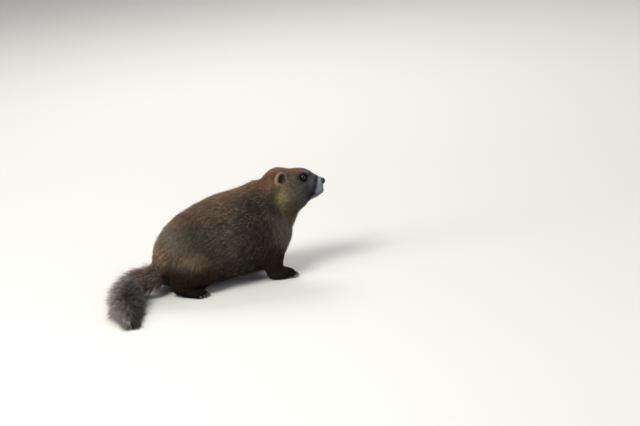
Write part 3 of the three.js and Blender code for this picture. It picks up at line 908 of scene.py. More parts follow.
def loop_uvs(piece: bpy.types.Object) -> Array:
    """Reads the bake map of a piece.

    Args:
        piece: the piece.

    Returns:
        The map's coordinates, one row for each face corner.
    """
    made = np.empty(len(piece.data.loops) * 2, np.float32)
    piece.data.uv_layers["OFBake"].data.foreach_get("uv", made)
    return made.reshape(-1, 2)


def piece_points(piece: bpy.types.Object) -> Array:
    """Reads where the vertices of a piece are.

    Args:
        piece: the piece.

    Returns:
        Their places in the animal's frame, one in each row.
    """
    made = np.empty(len(piece.data.vertices) * 3, np.float32)
    piece.data.vertices.foreach_get("co", made)
    return made.reshape(-1, 3).astype(float) / MM - OFFSET


def nearest(points: Array, places: Array) -> Array:
    """Finds the nearest of some points to each of some places.

    Args:
        points: the points, one in each row.
        places: the places, one in each row.

    Returns:
        The number of a point for each place.
    """
    tree = KDTree(len(points))
    for n, point in enumerate(points):
        tree.insert(point, n)
    tree.balance()
    return np.array([tree.find(place)[1] for place in places])


@dataclass
class Markings:
    """Where each colour of the pelt lies, with painted shade and highlight among them, for the hide and for
    the hair on it.
    """

    hide: Hide

    def share(self, shares: Array, *starts: str) -> Array:
        """The share of all the parts whose names start with one of some words."""
        chosen = [n for n, part in enumerate(self.hide.parts) if part.name.startswith(starts)]
        return shares[:, chosen].sum(axis=1)

    def ears(self, points: Array, ear: Array) -> tuple[Array, Array]:
        """Marks the hollows of the ears, and their rims.

        Args:
            points: places on the hide, one in each row.
            ear: how much the ears count there.

        Returns:
            The strength of the hollow and of the rim.
        """
        inner, rim = np.zeros((2, len(points)))
        for side in Side:
            across, out, high = (EAR_PLACE[side].local(points) * (1, side.value, 1)).T
            from_middle = np.hypot(
                (across - EAR_HOLLOW_AT[0]) / EAR_HOLLOW[0], (high - EAR_HOLLOW_AT[2]) / EAR_HOLLOW[2]
            )
            inner += ear * (1 - ramp(from_middle, 0.85, 1.0)) * (np.abs(out - 4) < 8)
            rim += ear * ramp(out, -4.5, -1.0) * (np.abs(out) < 14)
        return inner, rim

    def at(self, points: Array, normals: Array, shares: Array) -> dict[str, Array]:
        """The strength of each mark, from 0 to 1.

        Args:
            points: places on the hide, one in each row.
            normals: the way out of the hide there.
            shares: how much each part counts there.

        Returns:
            An array for each mark's name.
        """
        x, y, z = points.T
        aside = np.abs(y)
        up = normals[:, 2]
        head = HEAD.local(points)
        hx, hy, hz = head[:, 0], np.abs(head[:, 1]), head[:, 2]
        on_head = self.share(shares, "skull", "muzzle", "jaw", "cheek", "brow", "lids", "lips", "ear")
        on_tail = self.share(shares, "tail")
        paws = self.share(shares, "forepaw", "hindpaw", "toes")
        fore = self.share(shares, "forearm")
        thigh = self.share(shares, "thigh", "shank", "heel")
        ear = self.share(shares, "ear")
        off_ear = 1 - ear
        off_head = 1 - on_head
        inner, rim = self.ears(points, ear)

        def spot(at: tuple[float, float], size: tuple[float, float]) -> Array:
            """A soft oval on the side of the head, in the head's own X and Z."""
            away = ((hx - at[0]) / size[0]) ** 2 + ((hz - at[1]) / size[1]) ** 2
            return np.exp(-away) * ramp(hy, 8, 20)

        # The warm brown of the back, the nape and the crown, and the buff down the side of the neck
        back = 0.54 * ramp(up, 0.45, 0.97) * ramp(z, 96, 140) * ramp(x, -42, 14) * off_head
        neck_top = self.share(shares, "neck") * ramp(z, 122, 156) * ramp(up, 0.3, 0.9)
        nape = neck_top + on_head * (1 - ramp(hx, -18, -6)) * ramp(hz, -34, -14)
        crown = on_head * ramp(hz, 5, 12) * (1 - ramp(hx, 46, 62))
        behind_ear = spot((-11, -4), (5, 15))
        ruddy = back + nape + crown + 0.85 * behind_ear
        buff = 0.2 * behind_ear + 0.78 * spot((12, -32), (10, 22))

        # The rusty legs and haunch, and a paler patch beside the tail; on each thigh a painted highlight over
        # its upper part, partly its own paler hair, and a painted shadow in an arc above it
        haunch = ramp(-np.abs(x + 5), -78, -55) * ramp(aside, 14, 28) * (1 - on_tail)
        rust = fore + haunch * (1 - ramp(z, 40, 70)) * 0.95 + 0.5 * on_tail * ramp(x, -105, -75)
        by_tail = np.exp(-((x + 58) ** 2 + (aside - 20) ** 2 + (z - 78) ** 2) / 22**2)
        over_thigh = np.hypot((x + 5) / 44, (z - 56) / 35)  # 1 on the upper edge of the thigh
        # Painted highlight: the upper middle of each thigh paler, partly its own paler hair
        gold = 0.4 * ramp(z, 48, 76) * (1 - ramp(over_thigh, 0.3, 1.2)) * ramp(aside, 30, 44) + by_tail
        # Painted shadow: a dark arc along the upper edge of each thigh
        thigh_shadow = np.exp(-(((over_thigh - 1.12) / 0.1) ** 2)) * ramp(z, 50, 70) * ramp(aside, 30, 44)

        # The grey of the rump, the front of the chest and the face
        rump = self.share(shares, "rump") * ramp(-x, -24, 30) * ramp(z, 58, 98)
        front = off_head * ramp(x, 142, 168) * ramp(z, 44, 70) * (1 - ramp(z, 108, 134))
        face = on_head * ramp(hx, 4, 22) * (1 - crown)
        slate = on_head * ramp(hx, 42, 58) + 0.6 * spot((42, -21), (8, 2.5))

        # The white band round the muzzle, the black stripe behind it, the nose and the eyes
        edge = np.interp(hz, [-38, -29, -15, -6, -1], [61.5, 68, 73.3, 75.5, 79])  # where the band begins
        nose = np.exp(-(np.linalg.norm(head - NOSE, axis=1) / 8.6) ** 6)
        band = on_head * ramp(hx - edge, -1.2, 1.2) * ramp(-hz, -1, 2) * (1 - nose)
        stripe = on_head * np.exp(-(((hx - edge + 4.5) / 3.4) ** 2)) * ramp(hz, -40, -31)
        lids = self.share(shares, "lids", "lips")
        white = band * (1 - lids)
        eyes = sum(
            np.exp(-(np.linalg.norm(points - EYE_AT[side] - EYE_WAY[side] * 6, axis=1) / 8.2) ** 4)
            for side in Side
        )

        # The dark hair of the paws and lower legs, and painted shade on the shoulders, the withers and the
        # underside, with the yellow belly between
        # Painted shade: darkening laid over the shoulders, the tops of the forearms and the withers
        shoulder = np.exp(-(((x - 130) / 22) ** 2)) * ramp(z, 30, 60) + 0.8 * fore * ramp(z, 40, 60)
        withers = np.exp(-(((x - 127) / 27) ** 2) - ((z - 152) / 20) ** 2)
        shade = (shoulder + withers) * ramp(aside, 10, 34) * off_head
        middle = (1 - ramp(aside, 12, 26)) * (1 - on_tail)
        belly = off_head * ramp(-up, 0.8, 1.0) * ramp(-z, -60, -30) * middle
        # Painted shade: the underside darkened where the hide faces down, low on the body
        under = off_head * ramp(-up, 0.0, 0.5) * ramp(-z, -70, -35)
        dark_legs_and_shade = 0.5 * thigh * (1 - ramp(z, 14, 34)) + 0.42 * shade + 0.45 * under * (1 - belly)
        black = paws + eyes + lids + 0.85 * stripe + nose + dark_legs_and_shade + 0.3 * thigh_shadow

        marks = {
            "ruddy": ruddy * off_ear + ear * (1 - rim),
            "buff": buff * off_ear,
            "rust": rust,
            "gold": gold + 0.65 * rim * (1 - inner),
            "grey": 0.88 * rump + 0.42 * face * off_ear + 0.5 * front + 0.4 * back,
            "slate": 0.85 * slate * off_ear + 0.9 * inner,
            "black": black * (1 - 0.9 * white),
            "white": white,
            "belly": 0.8 * belly,
            "tail": on_tail,
            "grizzle": off_head * (1 - paws) * (1 - 0.75 * back) * ramp(x, -40, 90) * (1 - 0.8 * fore),
        }
        return {name: np.clip(values, 0, 1) for name, values in marks.items()}


# The sockets of a node that mixes colours, by number because other sockets share their names
FACTOR, FIRST, SECOND = 0, 6, 7
MIXED = 2


def add(
    tree: bpy.types.NodeTree, kind: str, inputs: dict[Any, Any] | None = None, **settings: Any
) -> bpy.types.Node:
    """Adds a shader node, with its settings and what its inputs hold or are linked to.

    Args:
        tree: the node tree.
        kind: the node's type.
        inputs: a value, or the output socket of another node, for each input's name or number.
        settings: the node's own properties.

    Returns:
        The new node.
    """
    made = tree.nodes.new(kind)
    for name, value in settings.items():
        setattr(made, name, value)
    for name, value in (inputs or {}).items():
        if isinstance(value, bpy.types.NodeSocket):
            tree.links.new(value, made.inputs[name])
        else:
            made.inputs[name].default_value = value
    return made


def new_material(
    name: str, roughness: float, ior: float, **sockets: float
) -> tuple[bpy.types.Material, bpy.types.NodeTree, bpy.types.Node]:
    """Makes a material with one Principled shader.

    Args:
        name: the material's name.
        roughness: the shader's roughness.
        ior: its index of refraction.
        sockets: values for other sockets, with _ for a space in their names.

    Returns:
        The material, its node tree and the shader node.
    """
    material = bpy.data.materials.new(name)
    material.use_nodes = True
    tree = material.node_tree
    shader = tree.nodes["Principled BSDF"]
    for socket, value in {"Roughness": roughness, "IOR": ior, **sockets}.items():
        shader.inputs[socket.replace("_", " ")].default_value = value
    return material, tree, shader


@dataclass(frozen=True)
class Pelt:
    """The colours of the pelt, as sRGB hex values, which hide and hair share."""

    umber: int = 0x3E372D  # flanks and shoulders
    ruddy: int = 0x765542  # back, crown and nape
    rust: int = 0x30190B  # forearms, haunch and the root of the tail
    buff: int = 0xA8986A  # behind the ears and down the side of the neck
    gold: int = 0xB99B7F  # rims of the ears and beside the tail, and the upper thighs, there partly paler hair and partly a painted highlight
    grey: int = 0x887A6B  # rump and, thinner, the face, the back and the front of the chest
    slate: int = 0x58575F  # muzzle, and inside the ears
    black: int = 0x17130F  # paws, lids and behind the white band, and painted shade on the shoulders, withers and underside, in an arc over the thighs and along the tail's side
    white: int = 0x99A8B3  # round the nose and mouth: white, painted blue-grey as in the shade of a blue sky
    belly: int = 0x7A5A36  # the yellow belly, seen only from below
    tail: int = 0x9E9693  # the brush, before its dark side is laid over it
    frost: int = 0xBDB199  # pale ends of the guard hairs

    def colour(self, tree: bpy.types.NodeTree) -> bpy.types.NodeSocket:
        """Adds the nodes that lay each mark's colour over the last.

        Args:
            tree: the node tree of a material whose pieces carry the marks.

        Returns:
            The socket of the resulting colour.
        """
        # Cloudy patches about 14 mm across
        patch = add(tree, "ShaderNodeTexNoise", {"Scale": 1 / (14 * MM), "Detail": 3.0, "Roughness": 0.6})
        light = tuple(min(1.0, c * 1.35) for c in linear(self.umber))
        laid = {FACTOR: patch.outputs["Fac"], FIRST: linear(self.umber), SECOND: light}
        made = add(tree, "ShaderNodeMix", laid, data_type="RGBA")
        for name in ("tail", "grey", "ruddy", "gold", "rust", "belly", "buff", "slate", "black", "white"):
            strength = add(tree, "ShaderNodeAttribute", attribute_name=name)
            over = linear(getattr(self, name))
            laid = {FACTOR: strength.outputs["Fac"], FIRST: made.outputs[MIXED], SECOND: over}
            made = add(tree, "ShaderNodeMix", laid, data_type="RGBA")
        return made.outputs[MIXED]


@dataclass(frozen=True)
class GuardHair:
    """Coarse keratin hairs: darkened towards the root by painted shade of the dense coat, coloured along the
    middle, some pale-ended.
    """

    pelt: Pelt = field(default_factory=Pelt)
    name: str = "keratin_guard_hair"
    roughness: float = 0.62
    ior: float = 1.55  # keratin
    root_light: float = 0.42  # painted shade: how bright a hair is at its root, against its middle
    tail_light: float = 0.7  # the same on the tail, where the hair is loose and lets light in
    fewest: tuple[float, float] = (0.6, 0.75)  # the chances between which a hair comes to have a pale end

    def material(self) -> bpy.types.Material:
        """Darkens the hair towards its roots with painted shade, and varies it by chance from tuft to tuft.

        Returns:
            The material.
        """
        material, tree, shader = new_material(self.name, self.roughness, self.ior, Specular_IOR_Level=0.15)
        tip, chance, on_tail, grizzle = (
            add(tree, "ShaderNodeAttribute", attribute_name=name).outputs["Fac"]
            for name in ("tip", "chance", "tail", "grizzle")
        )
        # Painted shade: each hair darkened towards its root, less deeply on the tail
        rooted = {"Value": tip, "From Max": 0.55, "To Min": self.root_light}
        root = add(tree, "ShaderNodeMapRange", rooted, interpolation_type="SMOOTHSTEP")
        least = add(tree, "ShaderNodeMath", {0: on_tail, 1: self.tail_light}, operation="MULTIPLY")
        lit = add(tree, "ShaderNodeMath", {0: root.outputs[0], 1: least.outputs[0]}, operation="MAXIMUM")
        spread = {"Value": chance, "From Min": 0.05, "From Max": 0.95, "To Min": 0.5, "To Max": 1.5}
        vary = add(tree, "ShaderNodeMapRange", spread)
        shade = add(tree, "ShaderNodeMath", {0: lit.outputs[0], 1: vary.outputs[0]}, operation="MULTIPLY")
        grey = add(tree, "ShaderNodeCombineColor", {n: shade.outputs[0] for n in range(3)})
        shaded = {FACTOR: 1.0, FIRST: self.pelt.colour(tree), SECOND: grey.outputs[0]}
        body = add(tree, "ShaderNodeMix", shaded, data_type="RGBA", blend_type="MULTIPLY")
        end = add(tree, "ShaderNodeMapRange", {"Value": tip, "From Min": 0.74, "From Max": 0.95})
        low, high = self.fewest
        few = add(tree, "ShaderNodeMapRange", {"Value": chance, "From Min": low, "From Max": high})
        pale = add(tree, "ShaderNodeMath", {0: end.outputs[0], 1: few.outputs[0]}, operation="MULTIPLY")
        frost = add(tree, "ShaderNodeMath", {0: pale.outputs[0], 1: grizzle}, operation="MULTIPLY")
        ended = {FACTOR: frost.outputs[0], FIRST: body.outputs[MIXED], SECOND: linear(self.pelt.frost)}
        made = add(tree, "ShaderNodeMix", ended, data_type="RGBA")
        tree.links.new(made.outputs[MIXED], shader.inputs["Base Color"])
        return material


@dataclass(frozen=True)
class TannedHide:
    """Skin with the finest underfur still on it, coloured by the pelt's own markings, painted shade and
    highlight among them, and rough all over.
    """

    pelt: Pelt = field(default_factory=Pelt)
    name: str = "hide_with_underfur"
    roughness: float = 0.85
    ior: float = 1.45  # skin
    wisp_mm: float = 0.9  # underfur parts in wisps of this width

    def material(self) -> bpy.types.Material:
        """Streaks the pelt's colours as finely as the shortest hair.

        Returns:
            The material.
        """
        material, tree, shader = new_material(self.name, self.roughness, self.ior, Specular_IOR_Level=0.1)
        wisps = {"Scale": 1 / (self.wisp_mm * MM), "Detail": 2.0, "Roughness": 0.7}
        nap = add(tree, "ShaderNodeTexNoise", wisps)
        body = self.pelt.colour(tree)
        darkened = {FACTOR: 1.0, FIRST: body, SECOND: (0.5, 0.48, 0.46, 1.0)}
        dark = add(tree, "ShaderNodeMix", darkened, data_type="RGBA", blend_type="MULTIPLY")
        streaked = {FACTOR: nap.outputs["Fac"], FIRST: dark.outputs[MIXED], SECOND: body}
        made = add(tree, "ShaderNodeMix", streaked, data_type="RGBA")
        tree.links.new(made.outputs[MIXED], shader.inputs["Base Color"])
        relief = {"Strength": 0.5, "Distance": 0.4 * MM, "Height": nap.outputs["Fac"]}
        tree.links.new(add(tree, "ShaderNodeBump", relief).outputs[0], shader.inputs["Normal"])
        return material


@dataclass(frozen=True)
class EyeGloss:
    """A wet cornea over a brown-black iris: a clear coat gives the one sharp highlight."""

    name: str = "wet_cornea_over_dark_iris"
    pupil: int = 0x050404
    iris: int = 0x1D120C
    rim: int = 0x0A0807
    pupil_edge: tuple[float, float] = (0.30, 0.36)  # angles from the eye's own axis, in radians
    iris_edge: tuple[float, float] = (0.75, 0.95)
    fibre_mm: float = 0.5

    def material(self) -> bpy.types.Material:
        """Colours the pupil, then the iris, then its dark rim, by the angle from the eye's own axis.

        Returns:
            The material.
        """
        material, tree, shader = new_material(
            self.name, 0.14, 1.376, Coat_Weight=0.22, Coat_Roughness=0.05, Specular_IOR_Level=0.35
        )
        angle = add(tree, "ShaderNodeAttribute", attribute_name="angle").outputs["Fac"]
        fibres = add(tree, "ShaderNodeTexNoise", {"Scale": 1 / (self.fibre_mm * MM), "Detail": 2.0})
        woven = {FACTOR: fibres.outputs["Fac"], FIRST: linear(self.iris), SECOND: linear(self.rim)}
        iris = add(tree, "ShaderNodeMix", woven, data_type="RGBA")
        inner, outer = (
            add(tree, "ShaderNodeMapRange", {"Value": angle, "From Min": low, "From Max": high})
            for low, high in (self.pupil_edge, self.iris_edge)
        )
        open_eye = {FACTOR: inner.outputs[0], FIRST: linear(self.pupil), SECOND: iris.outputs[MIXED]}
        seen = add(tree, "ShaderNodeMix", open_eye, data_type="RGBA")
        rimmed = {FACTOR: outer.outputs[0], FIRST: seen.outputs[MIXED], SECOND: linear(self.rim)}
        made = add(tree, "ShaderNodeMix", rimmed, data_type="RGBA")
        tree.links.new(made.outputs[MIXED], shader.inputs["Base Color"])
        return material


@dataclass(frozen=True)
class NoseLeather:
    """Bare moist skin of the nose pad, in fine rounded grains that catch small glints."""

    name: str = "moist_nose_leather"
    colour: int = 0x121013
    grain_mm: float = 0.55

    def material(self) -> bpy.types.Material:
        """Draws the grains as cells, a little paler and higher at their middles.

        Returns:
            The material.
        """
        material, tree, shader = new_material(self.name, 0.38, 1.42, Coat_Weight=0.25, Coat_Roughness=0.2)
        cells = add(
            tree, "ShaderNodeTexVoronoi", {"Scale": 1 / (self.grain_mm * MM)}, feature="DISTANCE_TO_EDGE"
        ).outputs["Distance"]
        pale = tuple(min(1.0, c * 1.8) for c in linear(self.colour))
        grained = {FACTOR: cells, FIRST: linear(self.colour), SECOND: pale}
        made = add(tree, "ShaderNodeMix", grained, data_type="RGBA")
        tree.links.new(made.outputs[MIXED], shader.inputs["Base Color"])
        bump = add(tree, "ShaderNodeBump", {"Strength": 0.6, "Distance": 0.15 * MM, "Height": cells})
        tree.links.new(bump.outputs[0], shader.inputs["Normal"])
        return material


@dataclass(frozen=True)
class ClawHorn:
    """Solid horn, near black at the quick and worn paler and smoother at the point."""

    name: str = "worn_claw_horn"
    quick: int = 0x17120F
    point: int = 0x54483D
    growth_mm: float = 0.6

    def material(self) -> bpy.types.Material:
        """Pales the horn to its point, with growth marks in it.

        Returns:
            The material.
        """
        material, tree, shader = new_material(self.name, 0.4, 1.55)
        tip = add(tree, "ShaderNodeAttribute", attribute_name="tip").outputs["Fac"]
        grain = {"Scale": 1 / (self.growth_mm * MM), "Detail": 3.0}
        growth = add(tree, "ShaderNodeTexNoise", grain).outputs["Fac"]
        paling = {FACTOR: tip, FIRST: linear(self.quick), SECOND: linear(self.point)}
        horn = add(tree, "ShaderNodeMix", paling, data_type="RGBA")
        marked = {FACTOR: growth, FIRST: horn.outputs[MIXED], SECOND: linear(self.quick)}
        made = add(tree, "ShaderNodeMix", marked, data_type="RGBA")
        tree.links.new(made.outputs[MIXED], shader.inputs["Base Color"])
        bump = add(tree, "ShaderNodeBump", {"Strength": 0.3, "Distance": 0.1 * MM, "Height": growth})
        tree.links.new(bump.outputs[0], shader.inputs["Normal"])
        return material


@dataclass(frozen=True)
class WhiskerHorn:
    """Stiff black vibrissae, smoother and glossier than the coat."""

    name: str = "vibrissa_keratin"
    colour: int = 0x151110
    end: int = 0x4E4742

    def material(self) -> bpy.types.Material:
        """Pales the whisker where it thins out.

        Returns:
            The material.
        """
        material, tree, shader = new_material(self.name, 0.35, 1.55)
        tip = add(tree, "ShaderNodeAttribute", attribute_name="tip").outputs["Fac"]
        paling = {FACTOR: tip, FIRST: linear(self.colour), SECOND: linear(self.end)}
        made = add(tree, "ShaderNodeMix", paling, data_type="RGBA")
        tree.links.new(made.outputs[MIXED], shader.inputs["Base Color"])
        return material


@dataclass(frozen=True)
class FloorPaint:
    """Matt pale paint on a studio floor, faintly mottled."""

    name: str = "matt_studio_floor"
    colour: int = 0xD8D5CF
    mottle_mm: float = 60.0

    def material(self) -> bpy.types.Material:
        """Mottles the paint.

        Returns:
            The material.
        """
        material, tree, shader = new_material(self.name, 0.9, 1.45, Specular_IOR_Level=0.1)
        mottle = add(tree, "ShaderNodeTexNoise", {"Scale": 1 / (self.mottle_mm * MM), "Detail": 4.0})
        pale = linear(self.colour)
        mottled = {FACTOR: mottle.outputs["Fac"], FIRST: pale, SECOND: tuple(c * 0.94 for c in pale)}
        made = add(tree, "ShaderNodeMix", mottled, data_type="RGBA")
        tree.links.new(made.outputs[MIXED], shader.inputs["Base Color"])
        return material


def tufts_mesh(
    lines: Array, widths: Array, outward: Array, thickness: float = 0.45
) -> tuple[Array, list[Array]]:
    """Builds tufts as slender three-sided spikes along middle lines.

    Args:
        lines: middle lines, as tufts by stations by coordinates; the last station is the tip.
        widths: the full width at each station but the last, as tufts by stations.
        outward: the way that each tuft's ridge faces.
        thickness: thickness of a tuft over its width.

    Returns:
        The vertices, and the faces as an array of quads, if there are any, and one of triangles.
    """
    count, stations, _ = lines.shape
    rings = stations - 1
    ahead = unit(np.diff(lines, axis=1))
    across = unit(np.cross(ahead, outward[:, None, :]))
    ridge = np.cross(across, ahead)
    half = widths[..., None] / 2
    base = lines[:, :-1]
    sides = [base - across * half, base + across * half, base + ridge * half * 2 * thickness]
    ring = np.stack(sides, axis=2)
    vertices = np.concatenate([ring.reshape(count, rings * 3, 3), lines[:, -1:]], axis=1)
    each = rings * 3 + 1
    starts = (np.arange(count) * each)[:, None, None]
    around = [(0, 1), (1, 2), (2, 0)]
    quads = [[r + a, r + b, r + 3 + b, r + 3 + a] for r in range(0, 3 * rings - 3, 3) for a, b in around]
    tips = [[each - 4 + a, each - 4 + b, each - 1] for a, b in around]
    faces = [(np.array(rows)[None] + starts).reshape(-1, len(rows[0])) for rows in (quads, tips) if rows]
    return vertices.reshape(-1, 3), faces


class Ripple:
    """A smooth random number that changes slowly over the body, between about -1 and 1."""

    def __init__(self, draws: np.random.Generator, wavelength: float) -> None:
        """Draws a few waves of about the same length, in all directions.

        Args:
            draws: where random numbers come from.
            wavelength: how long the waves are, in millimetres.
        """
        self.waves = unit(draws.normal(size=(7, 3))) * 2 * math.pi / wavelength
        self.waves *= draws.uniform(0.7, 1.5, size=(7, 1))
        self.phases = draws.uniform(0, 2 * math.pi, 7)

    def at(self, points: Array) -> Array:
        """The number at each point."""
        return np.sin(points @ self.waves.T + self.phases).sum(axis=1) / 2.6


@dataclass
class Tufts:
    """Rows of tufts that are ready to build: middle lines, widths and what the material reads."""

    lines: Array
    widths: Array
    outward: Array
    uv: Array
    marks: dict[str, Array]
    chance: Array
    patch: float = 0.003  # the side of a tuft's patch in the bake map

    def only(self, chosen: Array) -> "Tufts":
        """Picks some of the tufts.

        Args:
            chosen: their numbers.

        Returns:
            Those tufts alone.
        """
        marks = {name: values[chosen] for name, values in self.marks.items()}
        arrays = ("lines", "widths", "outward", "uv", "chance")
        return replace(self, marks=marks, **{name: getattr(self, name)[chosen] for name in arrays})

    def build(self, name: str, slot: str, material: bpy.types.Material) -> bpy.types.Object:
        """Makes the tufts one piece, with their marks and their patches in the bake map.

        Args:
            name: the piece's name.
            slot: the record's material slot for its finish; not used.
            material: its material.

        Returns:
            The new piece.
        """
        self.lines[..., 2] = np.maximum(self.lines[..., 2], SOLE_Z)
        vertices, faces = tufts_mesh(self.lines, self.widths, self.outward)
        count, stations, _ = self.lines.shape
        along = np.append(np.repeat(np.arange(stations - 1), 3), stations - 1) / (stations - 1)
        across = np.append(np.tile([-0.5, 0.5, 0.0], stations - 1), 0.0)
        piece = make_piece(name, vertices, faces)
        marks = {key: np.repeat(values, len(along)) for key, values in self.marks.items()}
        marks["tip"] = np.tile(along, count)
        marks["chance"] = np.repeat(self.chance, len(along))
        set_marks(piece, marks)
        patch = np.stack([across, along - 0.5], axis=1) * self.patch
        uv = np.clip(self.uv[:, None] + patch[None], 0, 1).reshape(-1, 2)
        loops = np.concatenate([array.ravel() for array in faces])
        layer = piece.data.uv_layers.new(name="OFBake")
        layer.data.foreach_set("uv", uv[loops].astype(np.float32).ravel())
        piece.data.materials.append(material)
        return piece


@dataclass
class Pelage:
    """The coat of the body: tufts rooted all over the hide, gathered in locks and combed along it."""

    hide: Hide
    skin: bpy.types.Object
    markings: Markings
    strays: float = 0.07  # the share of guard hairs that stand out of the coat
    swings: tuple[tuple[float, float], ...] = ((60, 0.16), (22, 0.07))  # length and strength of its turns
    lock_pull: float = 0.24  # how far a tip is drawn to the tip of its lock
    seed: int = 7

    def __post_init__(self) -> None:
        """Reads the skin's triangles, and the bake map at their corners."""
        self.draws = np.random.default_rng(self.seed)
        mesh = self.skin.data
        mesh.calc_loop_triangles()
        corners, loops = np.empty((2, len(mesh.loop_triangles) * 3), np.int32)
        mesh.loop_triangles.foreach_get("vertices", corners)
        mesh.loop_triangles.foreach_get("loops", loops)
        self.triangles = piece_points(self.skin)[corners.reshape(-1, 3)]
        self.uvs = loop_uvs(self.skin)[loops.reshape(-1, 3)]

    def style(self, shares: Array, name: str) -> Array:
        """A number of the coat, blended from the parts that count at each point."""
        return shares @ np.array([getattr(part.coat, name) for part in self.hide.parts], float)

    def roots(self) -> tuple[Array, Array]:
        """Spreads the roots over the hide, closer where the coat is denser.

        Returns:
            The roots' places, and the map coordinates of each.
        """
        a, b, c = self.triangles.transpose(1, 0, 2)
        area = np.linalg.norm(np.cross(b - a, c - a), axis=1) / 2 / 100
        shares = self.hide.shares(self.triangles.mean(axis=1))
        deep = np.clip(-self.hide.distance(self.triangles.mean(axis=1), coated=True) - 9, 0, 16)
        run = np.cumsum(area * self.style(shares, "density") * (1 + deep / 10))
        count = int(run[-1])
        picks = np.searchsorted(run, (np.arange(count) + self.draws.random(count)) * run[-1] / count)
        u, v = self.draws.random((2, count, 1))
        flip = u + v > 1
        u, v = np.where(flip, 1 - u, u), np.where(flip, 1 - v, v)
        at = a[picks] * (1 - u - v) + b[picks] * u + c[picks] * v
        uv = self.uvs[picks]
        return at, uv[:, 0] * (1 - u - v) + uv[:, 1] * u + uv[:, 2] * v

    def lie(self, points: Array, normals: Array, shares: Array) -> Array:
        """Lays the hair flat on the hide, swaying a little from place to place.

        Args:
            points: the roots, one in each row.
            normals: the way out of the hide there.
            shares: how much each part counts there.

        Returns:
            The unit vector that the hair lies along at each root.
        """
        ways = shares @ np.array([part.coat.lie for part in self.hide.parts])
        on_tail = self.markings.share(shares, "tail")[:, None]
        stations = TAIL.points[None, ::8]
        closest = np.argmin(((points[:, None, :] - stations) ** 2).sum(-1), axis=1)
        ways = ways * (1 - on_tail) + TAIL.tangents[::8][closest] * on_tail
        for side in Side:
            ear = self.markings.share(shares, f"ear_{side.label}")[:, None]
            spread = points - EAR_PLACE[side].point(0, 0, -EAR[2])
            ways = ways * (1 - ear) + unit(spread) * ear
        ways = ways - normals * (ways * normals).sum(axis=1, keepdims=True)
        swing = sum(Ripple(self.draws, apart).at(points) * turn for apart, turn in self.swings)
        across = np.cross(normals, unit(ways))
        return unit(unit(ways) + across * swing[:, None])

    def wobble(self, leader: Array, lock: float, tuft: float) -> Array:
        """Draws a number for each tuft, in part shared by its lock.

        Args:
            leader: the number of the tuft that leads each tuft's lock.
            lock: how much the locks differ.
            tuft: how much the tufts of one lock differ.

        Returns:
            The numbers, around 0.
        """
        count = len(leader)
        return lock * self.draws.normal(size=count)[leader] + tuft * self.draws.normal(size=count)

    def grow(self) -> dict[Region, Tufts]:
        """Grows the whole coat.

        Returns:
            The tufts of each region.
        """
        roots, uv = self.roots()
        count = len(roots)
        normals, shares = self.hide.normals(roots), self.hide.shares(roots)
        marks = self.markings.at(roots, normals, shares)
        parts = shares.argmax(axis=1)
        regions = np.array([part.coat.region.label for part in self.hide.parts])[parts]
        sizes = np.array([part.coat.region.lock for part in self.hide.parts])[parts]
        lie = self.lie(roots, normals, shares)
        length, width = self.style(shares, "length"), self.style(shares, "width")
        on_ear = self.markings.share(shares, "ear")
        length = length * (1 - 0.35 * on_ear)  # keeps the crown's hair off the ears
        depth = np.clip(-self.hide.distance(roots, coated=True), 0.3, 40.0)
        leaders = np.flatnonzero(self.draws.random(count) < 1 / sizes)
        leader = leaders[nearest(roots[leaders], roots)]

        long_or_short = 1 + 0.13 * Ripple(self.draws, 35).at(roots)
        long_or_short += 0.08 * self.draws.normal(size=count)[leader]
        length = length * np.clip(long_or_short * self.draws.uniform(0.8, 1.15, count), 0.5, 1.5)
        length = np.maximum(length, 1.5 * depth)
        lie = unit(lie + np.cross(normals, lie) * self.wobble(leader, 0.06, 0.07)[:, None])
        rise = np.clip(0.98 + self.wobble(leader, 0.04, 0.12), 0.35, 1.4)
        rise = np.where(self.draws.random(count) < self.strays, rise * 1.3, rise)
        reach = np.sqrt(np.maximum(length**2 - (rise * depth) ** 2, 1.0))

        tips = roots + lie * reach[:, None]
        gather = (tips[leader] - tips) * self.lock_pull
        pull = np.linalg.norm(gather, axis=1, keepdims=True)
        gather *= np.minimum(1.0, 0.35 * length[:, None] / np.maximum(pull, 1e-6))
        lock_chance = self.draws.random(count)[leader]
        chance = np.clip(0.35 * lock_chance + 0.65 * self.draws.random(count), 0, 1)

        made = {}
        for region in Region:
            own = np.flatnonzero(regions == region.label)
            ways = (roots[own], normals[own], lie[own], reach[own], rise[own], gather[own])
            lines = self.comb(*ways, region.bends)
            widths = width[own, None] * np.array([1.0, 0.8])[: region.bends]
            own_marks = {name: values[own] for name, values in marks.items()}
            made[region] = Tufts(lines, widths, normals[own], uv[own], own_marks, chance[own])
        return made

    def comb(
        self, roots: Array, normals: Array, lie: Array, reach: Array, rise: Array, gather: Array, bends: int
    ) -> Array:
        """Lays tufts along the hide, so that they follow it at the coat's own depth.

        Args:
            roots: where they are rooted.
            normals: the way out of the hide there.
            lie: the way that each lies.
            reach: how far each goes along the hide.
            rise: where its tip ends between the hide, at 0, and the coat's surface, at 1.
            gather: how far its tip is drawn to its lock's.
            bends: how many straight stretches each has.

        Returns:
            The middle lines, as tufts by stations by coordinates.
        """
        stations = [roots - normals * 0.6]
        out = unit(normals + self.hide.normals(roots, coated=True))
        for step in range(1, bends + 1):
            t = step / bends
            at = roots + lie * (reach * t)[:, None] + gather * t**2
            share = rise * (1 - (1 - t) ** 1.9)
            for _ in range(3):
                level = self.hide.distance(at) * (1 - share) + self.hide.distance(at, coated=True) * share
                at = at - out * np.clip(level, -14, 14)[:, None]
            stations.append(at)
        return np.stack(stations, axis=1)


